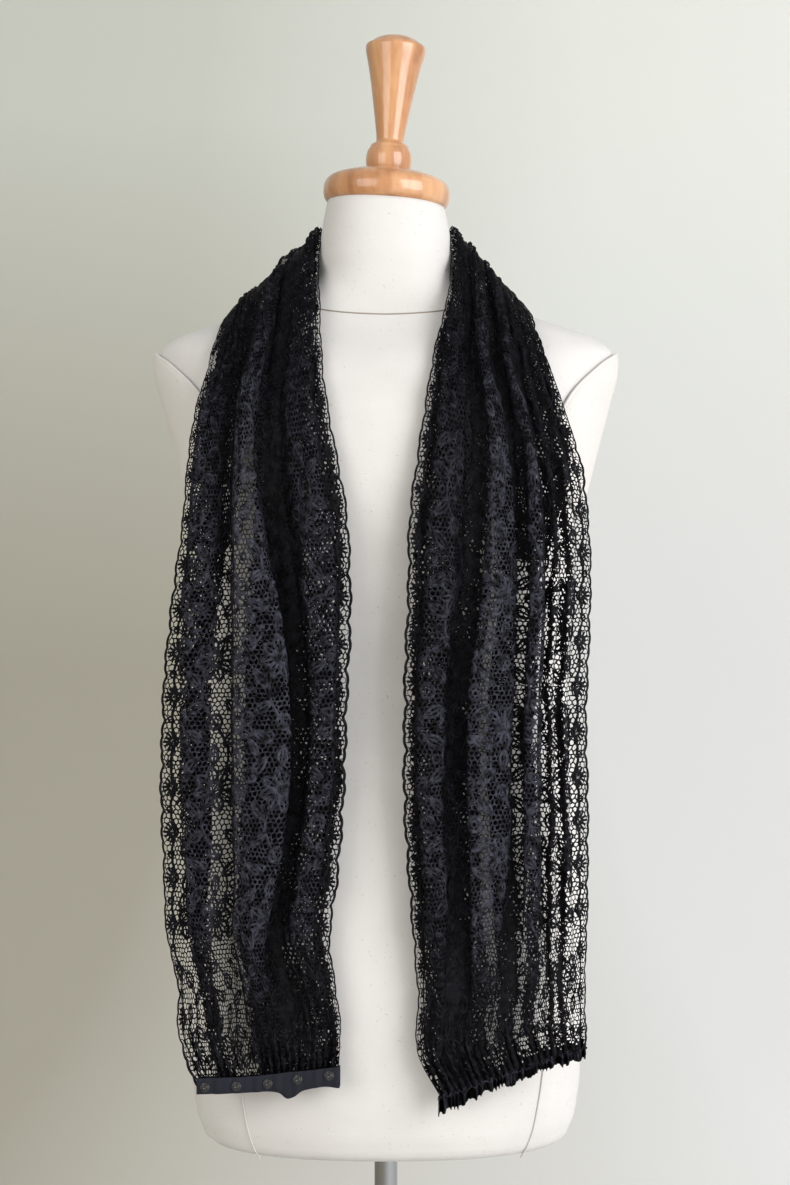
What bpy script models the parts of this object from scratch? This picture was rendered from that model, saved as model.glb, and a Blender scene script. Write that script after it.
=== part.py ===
"""A black lace shawl on a cream limbless dress form, in metres, Z up, front towards -Y.

The shawl is one long strip of cloth. Its middle lies round the back of the neck and its two
ends hang down the chest. A row table gives the two long edges of the strip, a fold table
gives where each fold line lies across it, and the cloth wall is worked out from both.
"""

import math

import bmesh
import bpy
import numpy as np

# Overall heights, measured from the floor
EYE = 0.705
BASE_RADIUS = 0.150
BASE_HEIGHT = 0.016
POLE_RADIUS = 0.0095
GAP = 0.0003

# The form
FORM_AROUND = 28
FORM_BOTTOM = EYE - 0.452
NECK_LEAN = math.radians(3.6)
FORM_SQUARE = 2.3

# The shawl
CLOTH_WIDTH = 0.300
FRONT_LENGTH = 0.672
NECK_LENGTH = 0.288
WALL = 0.0010
COLUMNS = 48
FRONT_ROWS = 20
NECK_ROWS = 12
GATHERS = 24
GATHER_DEPTH = 0.0023
REPEAT_WIDTH = 0.075
REPEAT_LENGTH = 0.096
GAP_HALF_WIDTH = 0.0022
GAP_HALF_LENGTH = 0.0026

# Ring sizes of the form: height from the eye line, half width, depth to the front, depth to the back
FORM_RINGS = (
    (-0.4520, 0.118, 0.072, 0.080),
    (-0.4515, 0.132, 0.082, 0.090),
    (-0.4470, 0.144, 0.092, 0.100),
    (-0.4350, 0.153, 0.100, 0.109),
    (-0.4140, 0.158, 0.105, 0.115),
    (-0.3730, 0.161, 0.108, 0.119),
    (-0.3100, 0.164, 0.109, 0.121),
    (-0.2300, 0.163, 0.107, 0.117),
    (-0.1400, 0.156, 0.102, 0.107),
    (-0.0500, 0.150, 0.099, 0.098),
    (0.0200, 0.152, 0.106, 0.097),
    (0.0800, 0.159, 0.116, 0.101),
    (0.1250, 0.168, 0.117, 0.105),
    (0.1600, 0.178, 0.108, 0.106),
    (0.1850, 0.186, 0.094, 0.100),
    (0.2000, 0.186, 0.080, 0.092),
    (0.2100, 0.172, 0.070, 0.085),
    (0.2220, 0.137, 0.061, 0.077),
    (0.2340, 0.101, 0.056, 0.070),
    (0.2460, 0.074, 0.054, 0.063),
    (0.2580, 0.060, 0.053, 0.058),
    (0.2750, 0.0565, 0.0545, 0.0565),
    (0.3000, 0.0530, 0.0520, 0.0530),
    (0.3200, 0.0490, 0.0490, 0.0490),
)

# Long edges of the strip, from the left hem over the neck to the right hem.
# Columns: outer edge x, y and height, then inner edge x, y and height, heights from the eye line
LEFT_EDGES = (
    (-0.1430, -0.112, -0.3855, -0.0380, -0.118, -0.3770),
    (-0.1490, -0.110, -0.3700, -0.0355, -0.118, -0.3640),
    (-0.1590, -0.106, -0.3450, -0.0345, -0.120, -0.3380),
    (-0.1610, -0.103, -0.3100, -0.0380, -0.122, -0.3080),
    (-0.1700, -0.100, -0.2700, -0.0430, -0.123, -0.2680),
    (-0.1720, -0.098, -0.2200, -0.0375, -0.124, -0.2200),
    (-0.1750, -0.096, -0.1500, -0.0312, -0.125, -0.1480),
    (-0.1725, -0.096, -0.0850, -0.0300, -0.126, -0.0800),
    (-0.1660, -0.098, -0.0100, -0.0272, -0.127, 0.0000),
    (-0.1580, -0.101, 0.0460, -0.0300, -0.128, 0.0600),
    (-0.1540, -0.102, 0.0950, -0.0390, -0.125, 0.1130),
    (-0.1510, -0.100, 0.1250, -0.0460, -0.117, 0.1550),
    (-0.1470, -0.093, 0.1500, -0.0500, -0.0925, 0.1930),
    (-0.1410, -0.086, 0.1700, -0.0525, -0.0645, 0.2330),
    (-0.1365, -0.0725, 0.1950, -0.0550, -0.030, 0.2690),
    (-0.1300, -0.030, 0.2236, -0.0537, -0.008, 0.2930),
)
RIGHT_EDGES = (
    (0.1145, -0.030, 0.2290, 0.0533, -0.008, 0.2955),
    (0.1205, -0.070, 0.2035, 0.0532, -0.030, 0.2690),
    (0.1285, -0.086, 0.1800, 0.0492, -0.0645, 0.2340),
    (0.1365, -0.093, 0.1545, 0.0392, -0.0925, 0.1940),
    (0.1450, -0.098, 0.1230, 0.0325, -0.117, 0.1550),
    (0.1525, -0.102, 0.0930, 0.0268, -0.126, 0.1150),
    (0.1585, -0.104, 0.0420, 0.0190, -0.129, 0.0550),
    (0.1585, -0.102, -0.0100, 0.0183, -0.128, -0.0050),
    (0.1560, -0.099, -0.0830, 0.0150, -0.127, -0.0780),
    (0.1570, -0.098, -0.1480, 0.0142, -0.126, -0.1450),
    (0.1570, -0.099, -0.2120, 0.0185, -0.125, -0.2150),
    (0.1565, -0.101, -0.2600, 0.0222, -0.124, -0.2680),
    (0.1550, -0.104, -0.3000, 0.0258, -0.122, -0.3160),
    (0.1540, -0.108, -0.3300, 0.0250, -0.121, -0.3560),
    (0.1540, -0.112, -0.3520, 0.0420, -0.121, -0.3890),
)

# Fold lines. Depth is how far the cloth stands out there in millimetres. The other columns say
# where the line lies, as a share of the way from the outer edge to the inner edge,
# at the neck, the shoulder, the chest, the middle and the low part of the hanging end.
FOLD_PLACES = (0.0, 0.090, 0.190, 0.400, 0.600)
LEFT_FOLDS = (
    # name, depth, neck, shoulder, chest, middle, low
    ("outer edge", 2.0, 0.00, 0.00, 0.00, 0.00, 0.00),
    ("outer strip", 5.0, 0.12, 0.10, 0.06, 0.07, 0.07),
    ("first fold under", 0.0, 0.27, 0.24, 0.19, 0.26, 0.25),
    ("first fold root", 6.5, 0.28, 0.25, 0.20, 0.28, 0.26),
    ("first fold lip", 9.5, 0.19, 0.15, 0.07, 0.11, 0.175),
    ("first fold turn", 16.5, 0.18, 0.14, 0.06, 0.11, 0.17),
    ("first fold top", 18.0, 0.30, 0.25, 0.19, 0.26, 0.29),
    ("thin strip", 11.0, 0.44, 0.36, 0.26, 0.33, 0.38),
    ("deep valley", 1.0, 0.57, 0.46, 0.33, 0.40, 0.44),
    ("middle fold wall", 12.0, 0.59, 0.48, 0.36, 0.40, 0.44),
    ("middle fold rise", 24.0, 0.64, 0.50, 0.38, 0.42, 0.46),
    ("middle fold top", 27.0, 0.70, 0.55, 0.43, 0.55, 0.53),
    ("middle fold brow", 25.0, 0.76, 0.60, 0.48, 0.68, 0.58),
    ("middle fold lip", 19.0, 0.80, 0.65, 0.52, 0.76, 0.64),
    ("middle fold under", 13.0, 0.77, 0.62, 0.49, 0.66, 0.60),
    ("middle fold back", 10.5, 0.74, 0.59, 0.47, 0.53, 0.55),
    ("middle fold turn", 3.0, 0.75, 0.60, 0.48, 0.54, 0.56),
    ("middle fold root", 1.0, 0.82, 0.67, 0.54, 0.72, 0.62),
    ("inner valley", 1.0, 0.86, 0.73, 0.62, 0.79, 0.69),
    ("inner fold wall", 9.0, 0.88, 0.76, 0.66, 0.82, 0.73),
    ("inner fold rise", 16.0, 0.91, 0.81, 0.72, 0.84, 0.77),
    ("inner fold top", 17.0, 0.95, 0.89, 0.84, 0.91, 0.84),
    ("inner fold lip", 13.0, 0.99, 0.97, 0.95, 0.98, 0.92),
    ("inner fold under", 5.0, 0.96, 0.92, 0.88, 0.91, 0.86),
    ("inner edge", 3.0, 1.00, 1.00, 1.00, 1.00, 1.00),
)
RIGHT_FOLDS = (
    # name, depth, neck, shoulder, chest, middle, low
    ("outer edge", 2.0, 0.00, 0.00, 0.00, 0.00, 0.00),
    ("outer strip", 6.0, 0.14, 0.12, 0.08, 0.06, 0.06),
    ("first crease", 3.0, 0.22, 0.18, 0.10, 0.10, 0.095),
    ("first ridge", 15.0, 0.27, 0.22, 0.15, 0.125, 0.125),
    ("second crease", 3.0, 0.32, 0.26, 0.20, 0.15, 0.155),
    ("second strip", 3.0, 0.38, 0.31, 0.215, 0.18, 0.18),
    ("second ridge", 12.0, 0.42, 0.35, 0.245, 0.205, 0.21),
    ("third crease", 3.0, 0.47, 0.40, 0.28, 0.23, 0.24),
    ("outer valley", 1.5, 0.53, 0.45, 0.315, 0.28, 0.30),
    ("third fold wall", 10.0, 0.54, 0.46, 0.325, 0.27, 0.295),
    ("third fold rise", 19.0, 0.56, 0.48, 0.34, 0.28, 0.32),
    ("third fold top", 22.0, 0.60, 0.52, 0.37, 0.32, 0.37),
    ("third fold lip", 16.0, 0.65, 0.57, 0.42, 0.38, 0.43),
    ("third fold under", 11.0, 0.62, 0.54, 0.39, 0.33, 0.385),
    ("third fold turn", 3.5, 0.62, 0.54, 0.39, 0.33, 0.37),
    ("third fold root", 1.5, 0.69, 0.61, 0.46, 0.46, 0.48),
    ("fourth fold under", 0.5, 0.71, 0.65, 0.50, 0.55, 0.56),
    ("fourth fold turn", 6.0, 0.71, 0.65, 0.50, 0.54, 0.55),
    ("fourth fold lip", 9.5, 0.70, 0.63, 0.47, 0.43, 0.48),
    ("fourth fold rise", 16.0, 0.72, 0.65, 0.49, 0.45, 0.50),
    ("fourth fold slope", 20.0, 0.74, 0.68, 0.53, 0.56, 0.58),
    ("fourth fold top", 22.0, 0.78, 0.73, 0.58, 0.64, 0.66),
    ("fourth fold brow", 18.0, 0.82, 0.77, 0.63, 0.70, 0.71),
    ("fourth fold tuck", 11.5, 0.78, 0.73, 0.57, 0.62, 0.63),
    ("fourth fold back", 4.5, 0.78, 0.73, 0.57, 0.61, 0.62),
    ("inner valley", 1.0, 0.87, 0.82, 0.68, 0.75, 0.75),
    ("inner fold wall", 8.0, 0.90, 0.86, 0.73, 0.80, 0.80),
    ("inner fold rise", 15.0, 0.92, 0.88, 0.77, 0.82, 0.82),
    ("inner fold top", 16.0, 0.95, 0.92, 0.86, 0.90, 0.89),
    ("inner fold lip", 11.0, 0.99, 0.98, 0.95, 0.98, 0.96),
    ("inner fold under", 6.0, 0.95, 0.92, 0.87, 0.90, 0.88),
    ("inner edge", 3.0, 1.00, 1.00, 1.00, 1.00, 1.00),
)

# How deep the folds stand at each of the fold places, as a share of the depths above
FOLD_DEPTHS = (0.17, 0.62, 0.96, 1.00, 0.95)

# How far the folds lap over themselves there, as a share of the laps in the fold tables
FOLD_LAPS = (0.50, 0.52, 0.65, 1.00, 0.84)


def start():
    """Removes every object, so that the part starts from nothing."""
    for old in list(bpy.data.objects):
        bpy.data.objects.remove(old, do_unlink=True)


def material(name, colour, roughness, metallic=0.0):
    """Returns a plain Principled material."""
    made = bpy.data.materials.new(name)
    made.use_nodes = True
    shader = made.node_tree.nodes["Principled BSDF"]
    shader.inputs["Base Color"].default_value = (*colour, 1.0)
    shader.inputs["Roughness"].default_value = roughness
    shader.inputs["Metallic"].default_value = metallic
    made.diffuse_color = (*colour, 1.0)
    return made


def solid(name, points, faces, look):
    """Makes a named object from points and faces, with its faces turned outwards."""
    mesh = bpy.data.meshes.new(name)
    mesh.from_pydata([tuple(map(float, p)) for p in points], [], faces)
    work = bmesh.new()
    work.from_mesh(mesh)
    bmesh.ops.recalc_face_normals(work, faces=work.faces)
    work.to_mesh(mesh)
    work.free()
    mesh.materials.append(look)
    made = bpy.data.objects.new(name, mesh)
    bpy.context.scene.collection.objects.link(made)
    return made


def ring_faces(rows, around):
    """Quads between successive closed rings, with one face to close each end."""
    faces = [tuple(range(around))[::-1]]
    for row in range(rows - 1):
        for k in range(around):
            nxt = (k + 1) % around
            a = row * around
            faces.append((a + k, a + nxt, a + around + nxt, a + around + k))
    last = (rows - 1) * around
    faces.append(tuple(range(last, last + around)))
    return faces


def along(knots, table, at):
    """Smooth curve through the rows of a table, one row a knot, read at the places given."""
    knots = np.asarray(knots, float)
    table = np.asarray(table, float)
    at = np.clip(np.asarray(at, float), knots[0], knots[-1])
    step = np.diff(knots)
    rise = np.diff(table, axis=0) / step[:, None]
    slope = np.empty_like(table)
    slope[1:-1] = (rise[:-1] * step[1:, None] + rise[1:] * step[:-1, None]) / (
        step[:-1] + step[1:]
    )[:, None]
    slope[0] = rise[0]
    slope[-1] = rise[-1]
    k = np.clip(np.searchsorted(knots, at, side="right") - 1, 0, len(step) - 1)
    h = step[k][:, None]
    t = ((at - knots[k]) / step[k])[:, None]
    t2 = t * t
    t3 = t2 * t
    return (
        (2 * t3 - 3 * t2 + 1) * table[k]
        + (t3 - 2 * t2 + t) * h * slope[k]
        + (3 * t2 - 2 * t3) * table[k + 1]
        + (t3 - t2) * h * slope[k + 1]
    )


def ease(value, low, high):
    """Runs smoothly from 0 at low to 1 at high."""
    t = np.clip((np.asarray(value, float) - low) / (high - low), 0.0, 1.0)
    return t * t * (3.0 - 2.0 * t)


# Shawl surface


def neck_edges(count):
    """Rows round the back of the neck, from the left crest of the shoulder to the right one."""
    turn = np.linspace(0.0, math.pi, count)
    side = -np.cos(turn)
    back = np.sin(turn)
    lean = 0.5 + 0.5 * side
    outer = np.stack(
        [
            side * (0.1285 - 0.0160 * lean),
            0.010 + 0.094 * back**0.8,
            0.2282 + 0.0045 * lean - 0.0260 * back**2,
        ],
        axis=1,
    )
    inner = np.stack(
        [side * 0.0549, 0.010 + 0.0485 * back, 0.304 + 0.001 * lean - 0.008 * back],
        axis=1,
    )
    return np.concatenate([outer, inner], axis=1)


def edge_rows():
    """All rows of the strip and the cloth length at each, from left hem to right hem."""
    left = np.array(LEFT_EDGES)
    right = np.array(RIGHT_EDGES)
    neck = neck_edges(9)
    places = []
    for rows, start_at, length in (
        (np.concatenate([left, neck[:1]]), 0.0, FRONT_LENGTH),
        (neck, FRONT_LENGTH, NECK_LENGTH),
        (np.concatenate([neck[-1:], right]), FRONT_LENGTH + NECK_LENGTH, FRONT_LENGTH),
    ):
        steps = np.linalg.norm(np.diff(rows[:, :3], axis=0), axis=1)
        steps = steps + np.linalg.norm(np.diff(rows[:, 3:], axis=0), axis=1)
        run = np.concatenate([[0.0], np.cumsum(steps)])
        places.append(start_at + length * run / run[-1])
    table = np.concatenate([left, neck, right])
    knots = np.concatenate([places[0][:-1], places[1], places[2][1:]])
    return knots, table


def spline_matrix(count, steps):
    """Weights of a smooth curve that follows a chain of points and ends on its end points."""
    total = (count - 1) * steps + 1
    at = np.linspace(0.0, count - 1.0, total)
    k = np.minimum(at.astype(int), count - 2)
    t = at - k
    weights = np.zeros((total, count + 2))
    rows = np.arange(total)
    weights[rows, k] += (1 - t) ** 3 / 6
    weights[rows, k + 1] += (3 * t**3 - 6 * t**2 + 4) / 6
    weights[rows, k + 2] += (-3 * t**3 + 3 * t**2 + 3 * t + 1) / 6
    weights[rows, k + 3] += t**3 / 6
    inside = weights[:, 1:-1].copy()
    inside[:, 0] += 2 * weights[:, 0]
    inside[:, 1] -= weights[:, 0]
    inside[:, -1] += 2 * weights[:, -1]
    inside[:, -2] -= weights[:, -1]
    return inside


def fold_profile(folds, drop, width, shares, loose):
    """Place and depth of the cloth across the strip, at each drop below the crest.

    The zigzag of the fold lines is made larger or smaller until the cloth measured along the
    folds is as wide as the strip lies flat. Where loose is above 0 the folds open out."""
    depth = np.array([row[1] for row in folds]) / 1000.0
    lines = np.array([row[2:] for row in folds])
    place = along(FOLD_PLACES, lines.T, drop)
    scale = along(FOLD_PLACES, np.array(FOLD_DEPTHS)[:, None], drop)
    laps = along(FOLD_PLACES, np.array(FOLD_LAPS)[:, None], drop)[:, 0]
    count = len(folds)
    index = np.arange(count)
    near = np.exp(-((index[:, None] - index[None, :]) ** 2) / (2 * 2.2**2))
    near[:, 0] = near[:, 0] * 0.5
    near[:, -1] = near[:, -1] * 0.5
    near = near / near.sum(axis=1, keepdims=True)
    trend = place @ near.T
    ends = (index / (count - 1.0))[None, :]
    trend = trend + (place[:, :1] - trend[:, :1]) * (1 - ends) + (place[:, -1:] - trend[:, -1:]) * ends
    curve = spline_matrix(count, 8)

    def shape(grow):
        across = (trend + grow[:, None] * (place - trend)) @ curve.T
        out = (scale * depth[None, :] * (0.30 + 0.70 * grow[:, None])) @ curve.T
        run = np.hypot(np.diff(across, axis=1) * width[:, None], np.diff(out, axis=1))
        length = np.concatenate([np.zeros((len(drop), 1)), np.cumsum(run, axis=1)], axis=1)
        return across, out, length

    low = np.full(len(drop), 0.40)
    high = np.full(len(drop), 1.16)
    for _ in range(22):
        middle = 0.5 * (low + high)
        short = shape(middle)[2][:, -1] < CLOTH_WIDTH
        low = np.where(short, middle, low)
        high = np.where(short, high, middle)
    across, out, length = shape(0.5 * (low + high) * laps * (1 - 0.85 * loose))
    level = 2.0 * np.arange(len(drop))[:, None]
    share = (length / length[:, -1:] + level).ravel()
    wanted = (np.asarray(shares)[None, :] + level).ravel()
    shape_to = (len(drop), len(shares))
    return (
        np.interp(wanted, share, across.ravel()).reshape(shape_to),
        np.interp(wanted, share, out.ravel()).reshape(shape_to),
    )


def shawl_points(lengths, shares):
    """Points of the shawl's middle surface, one row a cloth length, one column a share across.

    Each row is a section of the strip. Its base line runs from the outer edge to the inner
    edge, and the folds stand out from that line, away from the form."""
    lengths = np.asarray(lengths, float)
    shares = np.asarray(shares, float)
    knots, table = edge_rows()
    edges = along(knots, table, lengths)
    outer = edges[:, :3]
    inner = edges[:, 3:]
    step = 0.004
    ahead = along(knots, table, lengths + step)
    behind = along(knots, table, lengths - step)
    run = (ahead - behind)[:, :3] + (ahead - behind)[:, 3:]
    span = inner - outer
    width = np.linalg.norm(span, axis=1)
    away = np.cross(-run, span)
    away = away / np.linalg.norm(away, axis=1, keepdims=True)
    whole = 2 * FRONT_LENGTH + NECK_LENGTH
    drop_left = np.clip(FRONT_LENGTH - lengths, 0.0, FRONT_LENGTH)
    drop_right = np.clip(lengths - FRONT_LENGTH - NECK_LENGTH, 0.0, FRONT_LENGTH)
    ring = (lengths - FRONT_LENGTH) / NECK_LENGTH
    to_hem = np.minimum(lengths, whole - lengths)
    at_hem = 1 - ease(to_hem, 0.040, 0.150)
    left_loose = np.maximum(at_hem, ease(ring, 0.0, 0.26))
    right_loose = np.maximum(at_hem, 1 - ease(ring, 0.74, 1.0))
    left = fold_profile(LEFT_FOLDS, drop_left, width, shares, left_loose)
    right = fold_profile(RIGHT_FOLDS, drop_right, width, shares, right_loose)
    to_back = ease(ring, 0.12, 0.48)
    to_right = ease(ring, 0.52, 0.88)
    wave = 2 * math.pi * 5 * shares[None, :]
    soft_across = shares[None, :] - 0.010 * np.sin(wave) + 0 * left[0]
    soft_out = 0.0034 * (1 - np.cos(wave)) + 0 * left[0]
    keep_left = (1 - to_back)[:, None]
    keep_right = to_right[:, None]
    keep_soft = 1 - keep_left - keep_right
    across = keep_left * left[0] + keep_right * right[0] + keep_soft * soft_across
    out = keep_left * left[1] + keep_right * right[1] + keep_soft * soft_out
    even = (1 - ease(to_hem, 0.015, 0.080))[:, None]
    pucker = (1 - ease(to_hem, 0.006, 0.048))[:, None]
    across = (1 - even) * across + even * shares[None, :]
    flat_out = 0.0045 + GATHER_DEPTH * np.cos(2 * math.pi * GATHERS * shares)[None, :] * pucker
    out = (1 - even) * out + even * flat_out
    outer = outer + np.array([0.0, 0.0, EYE])
    return outer[:, None, :] + span[:, None, :] * across[..., None] + away[:, None, :] * out[..., None]


def surface_normals(points, lengths, shares):
    """Unit normals of a grid on the shawl, from its columns and from the rows just beside it."""
    down = shawl_points(lengths + 0.003, shares) - shawl_points(lengths - 0.003, shares)
    normals = np.cross(np.gradient(points, axis=1), down)
    return normals / np.linalg.norm(normals, axis=2, keepdims=True)


def lace_gaps(lengths):
    """Cells of the wall that hold a cut gap: two in every repeat of the lace."""
    pitch = CLOTH_WIDTH / COLUMNS
    cells = {}
    for turn in range(int((lengths[-1] + 1e-6) / REPEAT_LENGTH) + 1):
        for lane in range(int(CLOTH_WIDTH / REPEAT_WIDTH)):
            for across, down in ((0.29, 0.30), (0.79, 0.80)):
                length = (turn + down) * REPEAT_LENGTH
                if not lengths[0] + 0.05 < length < lengths[-1] - 0.05:
                    continue
                column = int((lane + across) * REPEAT_WIDTH / pitch)
                row = int(np.searchsorted(lengths, length) - 1)
                cells[(row, column)] = length
    return cells


def wall_faces(points, left_out=()):
    """Faces of a closed wall: a front grid, a back grid and the strip round their edges.

    Both grids split each cell along the shorter diagonal of the middle surface."""
    rows, columns = points.shape[:2]
    half = rows * columns
    faces = []
    falling = np.linalg.norm(points[:-1, :-1] - points[1:, 1:], axis=2)
    rising = np.linalg.norm(points[:-1, 1:] - points[1:, :-1], axis=2)
    for r in range(rows - 1):
        for c in range(columns - 1):
            a = r * columns + c
            b = a + columns
            if (r, c) in left_out:
                continue
            pair = ((a, a + 1, b + 1), (a, b + 1, b))
            if rising[r, c] < falling[r, c]:
                pair = ((a, a + 1, b), (a + 1, b + 1, b))
            for face in pair:
                faces.append(face)
                faces.append(tuple(half + k for k in face[::-1]))
    for c in range(columns - 1):
        last = (rows - 1) * columns
        faces.append((c, half + c, half + c + 1, c + 1))
        faces.append((last + c, last + c + 1, half + last + c + 1, half + last + c))
    for r in range(rows - 1):
        a = r * columns
        b = a + columns
        faces.append((a, b, half + b, half + a))
        a = a + columns - 1
        b = a + columns
        faces.append((a, half + a, half + b, b))
    return faces


def cloth_wall(name, lengths, look):
    """A closed wall on the shawl's middle surface, with the larger gaps of the lace cut through."""
    shares = np.linspace(0.0, 1.0, COLUMNS + 1)
    points = shawl_points(lengths, shares)
    normals = surface_normals(points, lengths, shares)
    rows, columns = points.shape[:2]
    front = points + normals * WALL / 2
    back = points - normals * WALL / 2
    verts = [*front.reshape(-1, 3), *back.reshape(-1, 3)]
    half = rows * columns
    gaps = lace_gaps(lengths)
    faces = wall_faces(points, gaps)
    inset = 0.5 - GAP_HALF_WIDTH / (CLOTH_WIDTH / COLUMNS)
    for (r, c), length in gaps.items():
        a = r * columns + c
        corners = (a, a + 1, a + columns + 1, a + columns)
        room = lengths[r + 1] - lengths[r]
        middle = np.clip((length - lengths[r]) / room, 0.2, 0.8)
        low = middle - GAP_HALF_LENGTH / room
        high = middle + GAP_HALF_LENGTH / room
        rings = []
        for side in (0, half):
            p = [np.asarray(verts[side + k]) for k in corners]
            rings.append(len(verts))
            for u, v in ((inset, low), (1 - inset, low), (1 - inset, high), (inset, high)):
                lower = p[0] * (1 - u) + p[1] * u
                upper = p[3] * (1 - u) + p[2] * u
                verts.append(lower * (1 - v) + upper * v)
        for k in range(4):
            n = (k + 1) % 4
            faces.append((corners[k], corners[n], rings[0] + n, rings[0] + k))
            faces.append((half + corners[n], half + corners[k], rings[1] + k, rings[1] + n))
            faces.append((rings[0] + k, rings[0] + n, rings[1] + n, rings[1] + k))
    return solid(name, verts, faces, look)


# Hem pieces. Columns of the band: place along the hem, then how far its top edge and its
# bottom edge lie above the hem line, in millimetres
BAND_STATIONS = (
    (0.00, 11.0, -2.0),
    (0.08, 10.6, -2.3),
    (0.16, 10.2, -2.8),
    (0.28, 9.6, -3.2),
    (0.40, 9.4, -3.5),
    (0.52, 9.8, -4.0),
    (0.58, 10.2, -5.4),
    (0.63, 10.6, -10.0),
    (0.68, 10.8, -9.2),
    (0.73, 10.8, -5.6),
    (0.80, 11.2, -3.6),
    (0.90, 11.8, -2.8),
    (1.00, 12.2, -4.6),
)
BAND_DEPTH = 0.0056
BAND_WALL = 0.0013
STUD_PLACES = ((0.06, 3.4), (0.28, 2.6), (0.50, 2.8), (0.71, 4.6), (0.93, 6.0))
STUD_RADIUS = 0.0037
RUFFLE_HEIGHT = 0.0135


def hem_frame(side):
    """Outer end, inner end and outward direction of a hem, side 0 for left and 1 for right."""
    whole = 2 * FRONT_LENGTH + NECK_LENGTH
    at = whole if side else 0.0
    knots, table = edge_rows()
    ends = along(knots, table, np.array([at]))[0]
    outer = ends[:3] + np.array([0.0, 0.0, EYE])
    inner = ends[3:] + np.array([0.0, 0.0, EYE])
    span = inner - outer
    out = np.array([span[1], -span[0], 0.0])
    out = out / np.linalg.norm(out)
    if out[1] > 0:
        out = -out
    return outer, inner, out


def band_middle(share):
    """Point on the middle line of the band's front, before it is moved out."""
    outer, inner, out = hem_frame(0)
    reach = -0.02 + 1.05 * share
    return outer + (inner - outer) * reach + out * (0.0045 + 0.0006 * math.sin(9.0 * share))


def build_band(look):
    """The folded strip that binds the gathered left hem: front, bottom edge and back in one."""
    out = hem_frame(0)[2]
    up = np.array([0.0, 0.0, 1.0])
    verts = []
    front = BAND_DEPTH
    inside = BAND_DEPTH - BAND_WALL
    for share, top, low in BAND_STATIONS:
        middle = band_middle(share)
        high = up * top / 1000
        base = up * low / 1000
        floor = base + up * BAND_WALL
        verts.append(middle + high + out * front)
        verts.append(middle + base + up * 0.0008 + out * front)
        verts.append(middle + base + out * (front - 0.0012))
        verts.append(middle + base - out * (front - 0.0012))
        verts.append(middle + base + up * 0.0008 - out * front)
        verts.append(middle + high - up * 0.0010 - out * front)
        verts.append(middle + high - up * 0.0010 - out * inside)
        verts.append(middle + floor - out * inside)
        verts.append(middle + floor + out * inside)
        verts.append(middle + high + out * inside)
    return solid("snap_band", verts, ring_faces(len(BAND_STATIONS), 10), look)


def build_studs(look):
    """Five sew-on press studs in a row on the front of the band."""
    out = hem_frame(0)[2]
    side = np.cross(out, np.array([0.0, 0.0, 1.0]))
    profile = (
        (1.00, 0.0),
        (1.00, 0.0006),
        (0.80, 0.0011),
        (0.45, 0.0011),
        (0.34, 0.0022),
    )
    around = 10
    for number, (share, height) in enumerate(STUD_PLACES, 1):
        middle = band_middle(share) + np.array([0.0, 0.0, height / 1000])
        middle = middle + out * (BAND_DEPTH + GAP)
        verts = []
        for radius, lift in profile:
            for k in range(around):
                turn = 2 * math.pi * k / around
                flat = side * math.cos(turn) + np.array([0.0, 0.0, 1.0]) * math.sin(turn)
                verts.append(middle + flat * radius * STUD_RADIUS + out * lift)
        solid(f"press_stud_{number}", verts, ring_faces(len(profile), around), look)


def ruffle_points(shares, drops):
    """Points of the gathered header below the right hem, one row a drop, one column a share."""
    outer, inner, out = hem_frame(1)
    shares = np.asarray(shares, float)[None, :]
    drops = np.asarray(drops, float)[:, None]
    reach = -0.01 + 1.03 * shares
    deep = RUFFLE_HEIGHT * (0.72 + 0.62 * shares**3 + 0.10 * np.sin(17.0 * shares))
    wave = np.cos(2 * math.pi * GATHERS * shares)
    depth = 0.0045 + wave * (GATHER_DEPTH + 0.0016 * drops)
    sway = 0.0012 * drops * np.sin(2 * math.pi * GATHERS * 0.31 * shares + 1.0)
    point = outer + (inner - outer) * reach[..., None] + out * (depth + sway)[..., None]
    down = GAP + deep * drops * (1 + 0.10 * np.sin(2 * math.pi * GATHERS * 0.5 * shares))
    return point - np.array([0.0, 0.0, 1.0]) * down[..., None]


def build_ruffle(look):
    """The gathered header, a closed wall on the ruffle surface."""
    points = ruffle_points(np.linspace(0, 1, 2 * GATHERS + 1), (0.0, 0.5, 1.0))
    out = hem_frame(1)[2]
    verts = [*(points + out * WALL / 2).reshape(-1, 3), *(points - out * WALL / 2).reshape(-1, 3)]
    return solid("ruffle_hem", verts, wall_faces(points), look)


# Dress form


def form_ring(heights, angles):
    """Points of the form's skin: rounded-square rings whose sizes follow the ring table."""
    table = np.array(FORM_RINGS)
    sizes = along(table[:, 0], table[:, 1:], heights)
    half = sizes[:, 0][:, None]
    c = np.cos(angles)[None, :]
    s = np.sin(angles)[None, :]
    power = 2.0 / FORM_SQUARE
    x = half * np.sign(c) * np.abs(c) ** power
    deep = np.where(s < 0, sizes[:, 1][:, None], sizes[:, 2][:, None])
    y = deep * np.sign(s) * np.abs(s) ** power
    z = np.repeat(np.asarray(heights)[:, None], len(angles), axis=1)
    lean = np.clip((np.asarray(heights) - 0.285) / 0.035, 0.0, 1.0)[:, None]
    z = z - lean * x * math.tan(NECK_LEAN)
    return np.stack([x, y, z + EYE], axis=2)


def build_form(look):
    """The padded body with its neck, closed at the top and at the bottom."""
    heights = np.array(FORM_RINGS)[:, 0]
    angles = np.linspace(0.0, 2 * math.pi, FORM_AROUND, endpoint=False)
    points = form_ring(heights, angles)
    return solid(
        "form_body", points.reshape(-1, 3), ring_faces(len(heights), FORM_AROUND), look
    )


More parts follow.
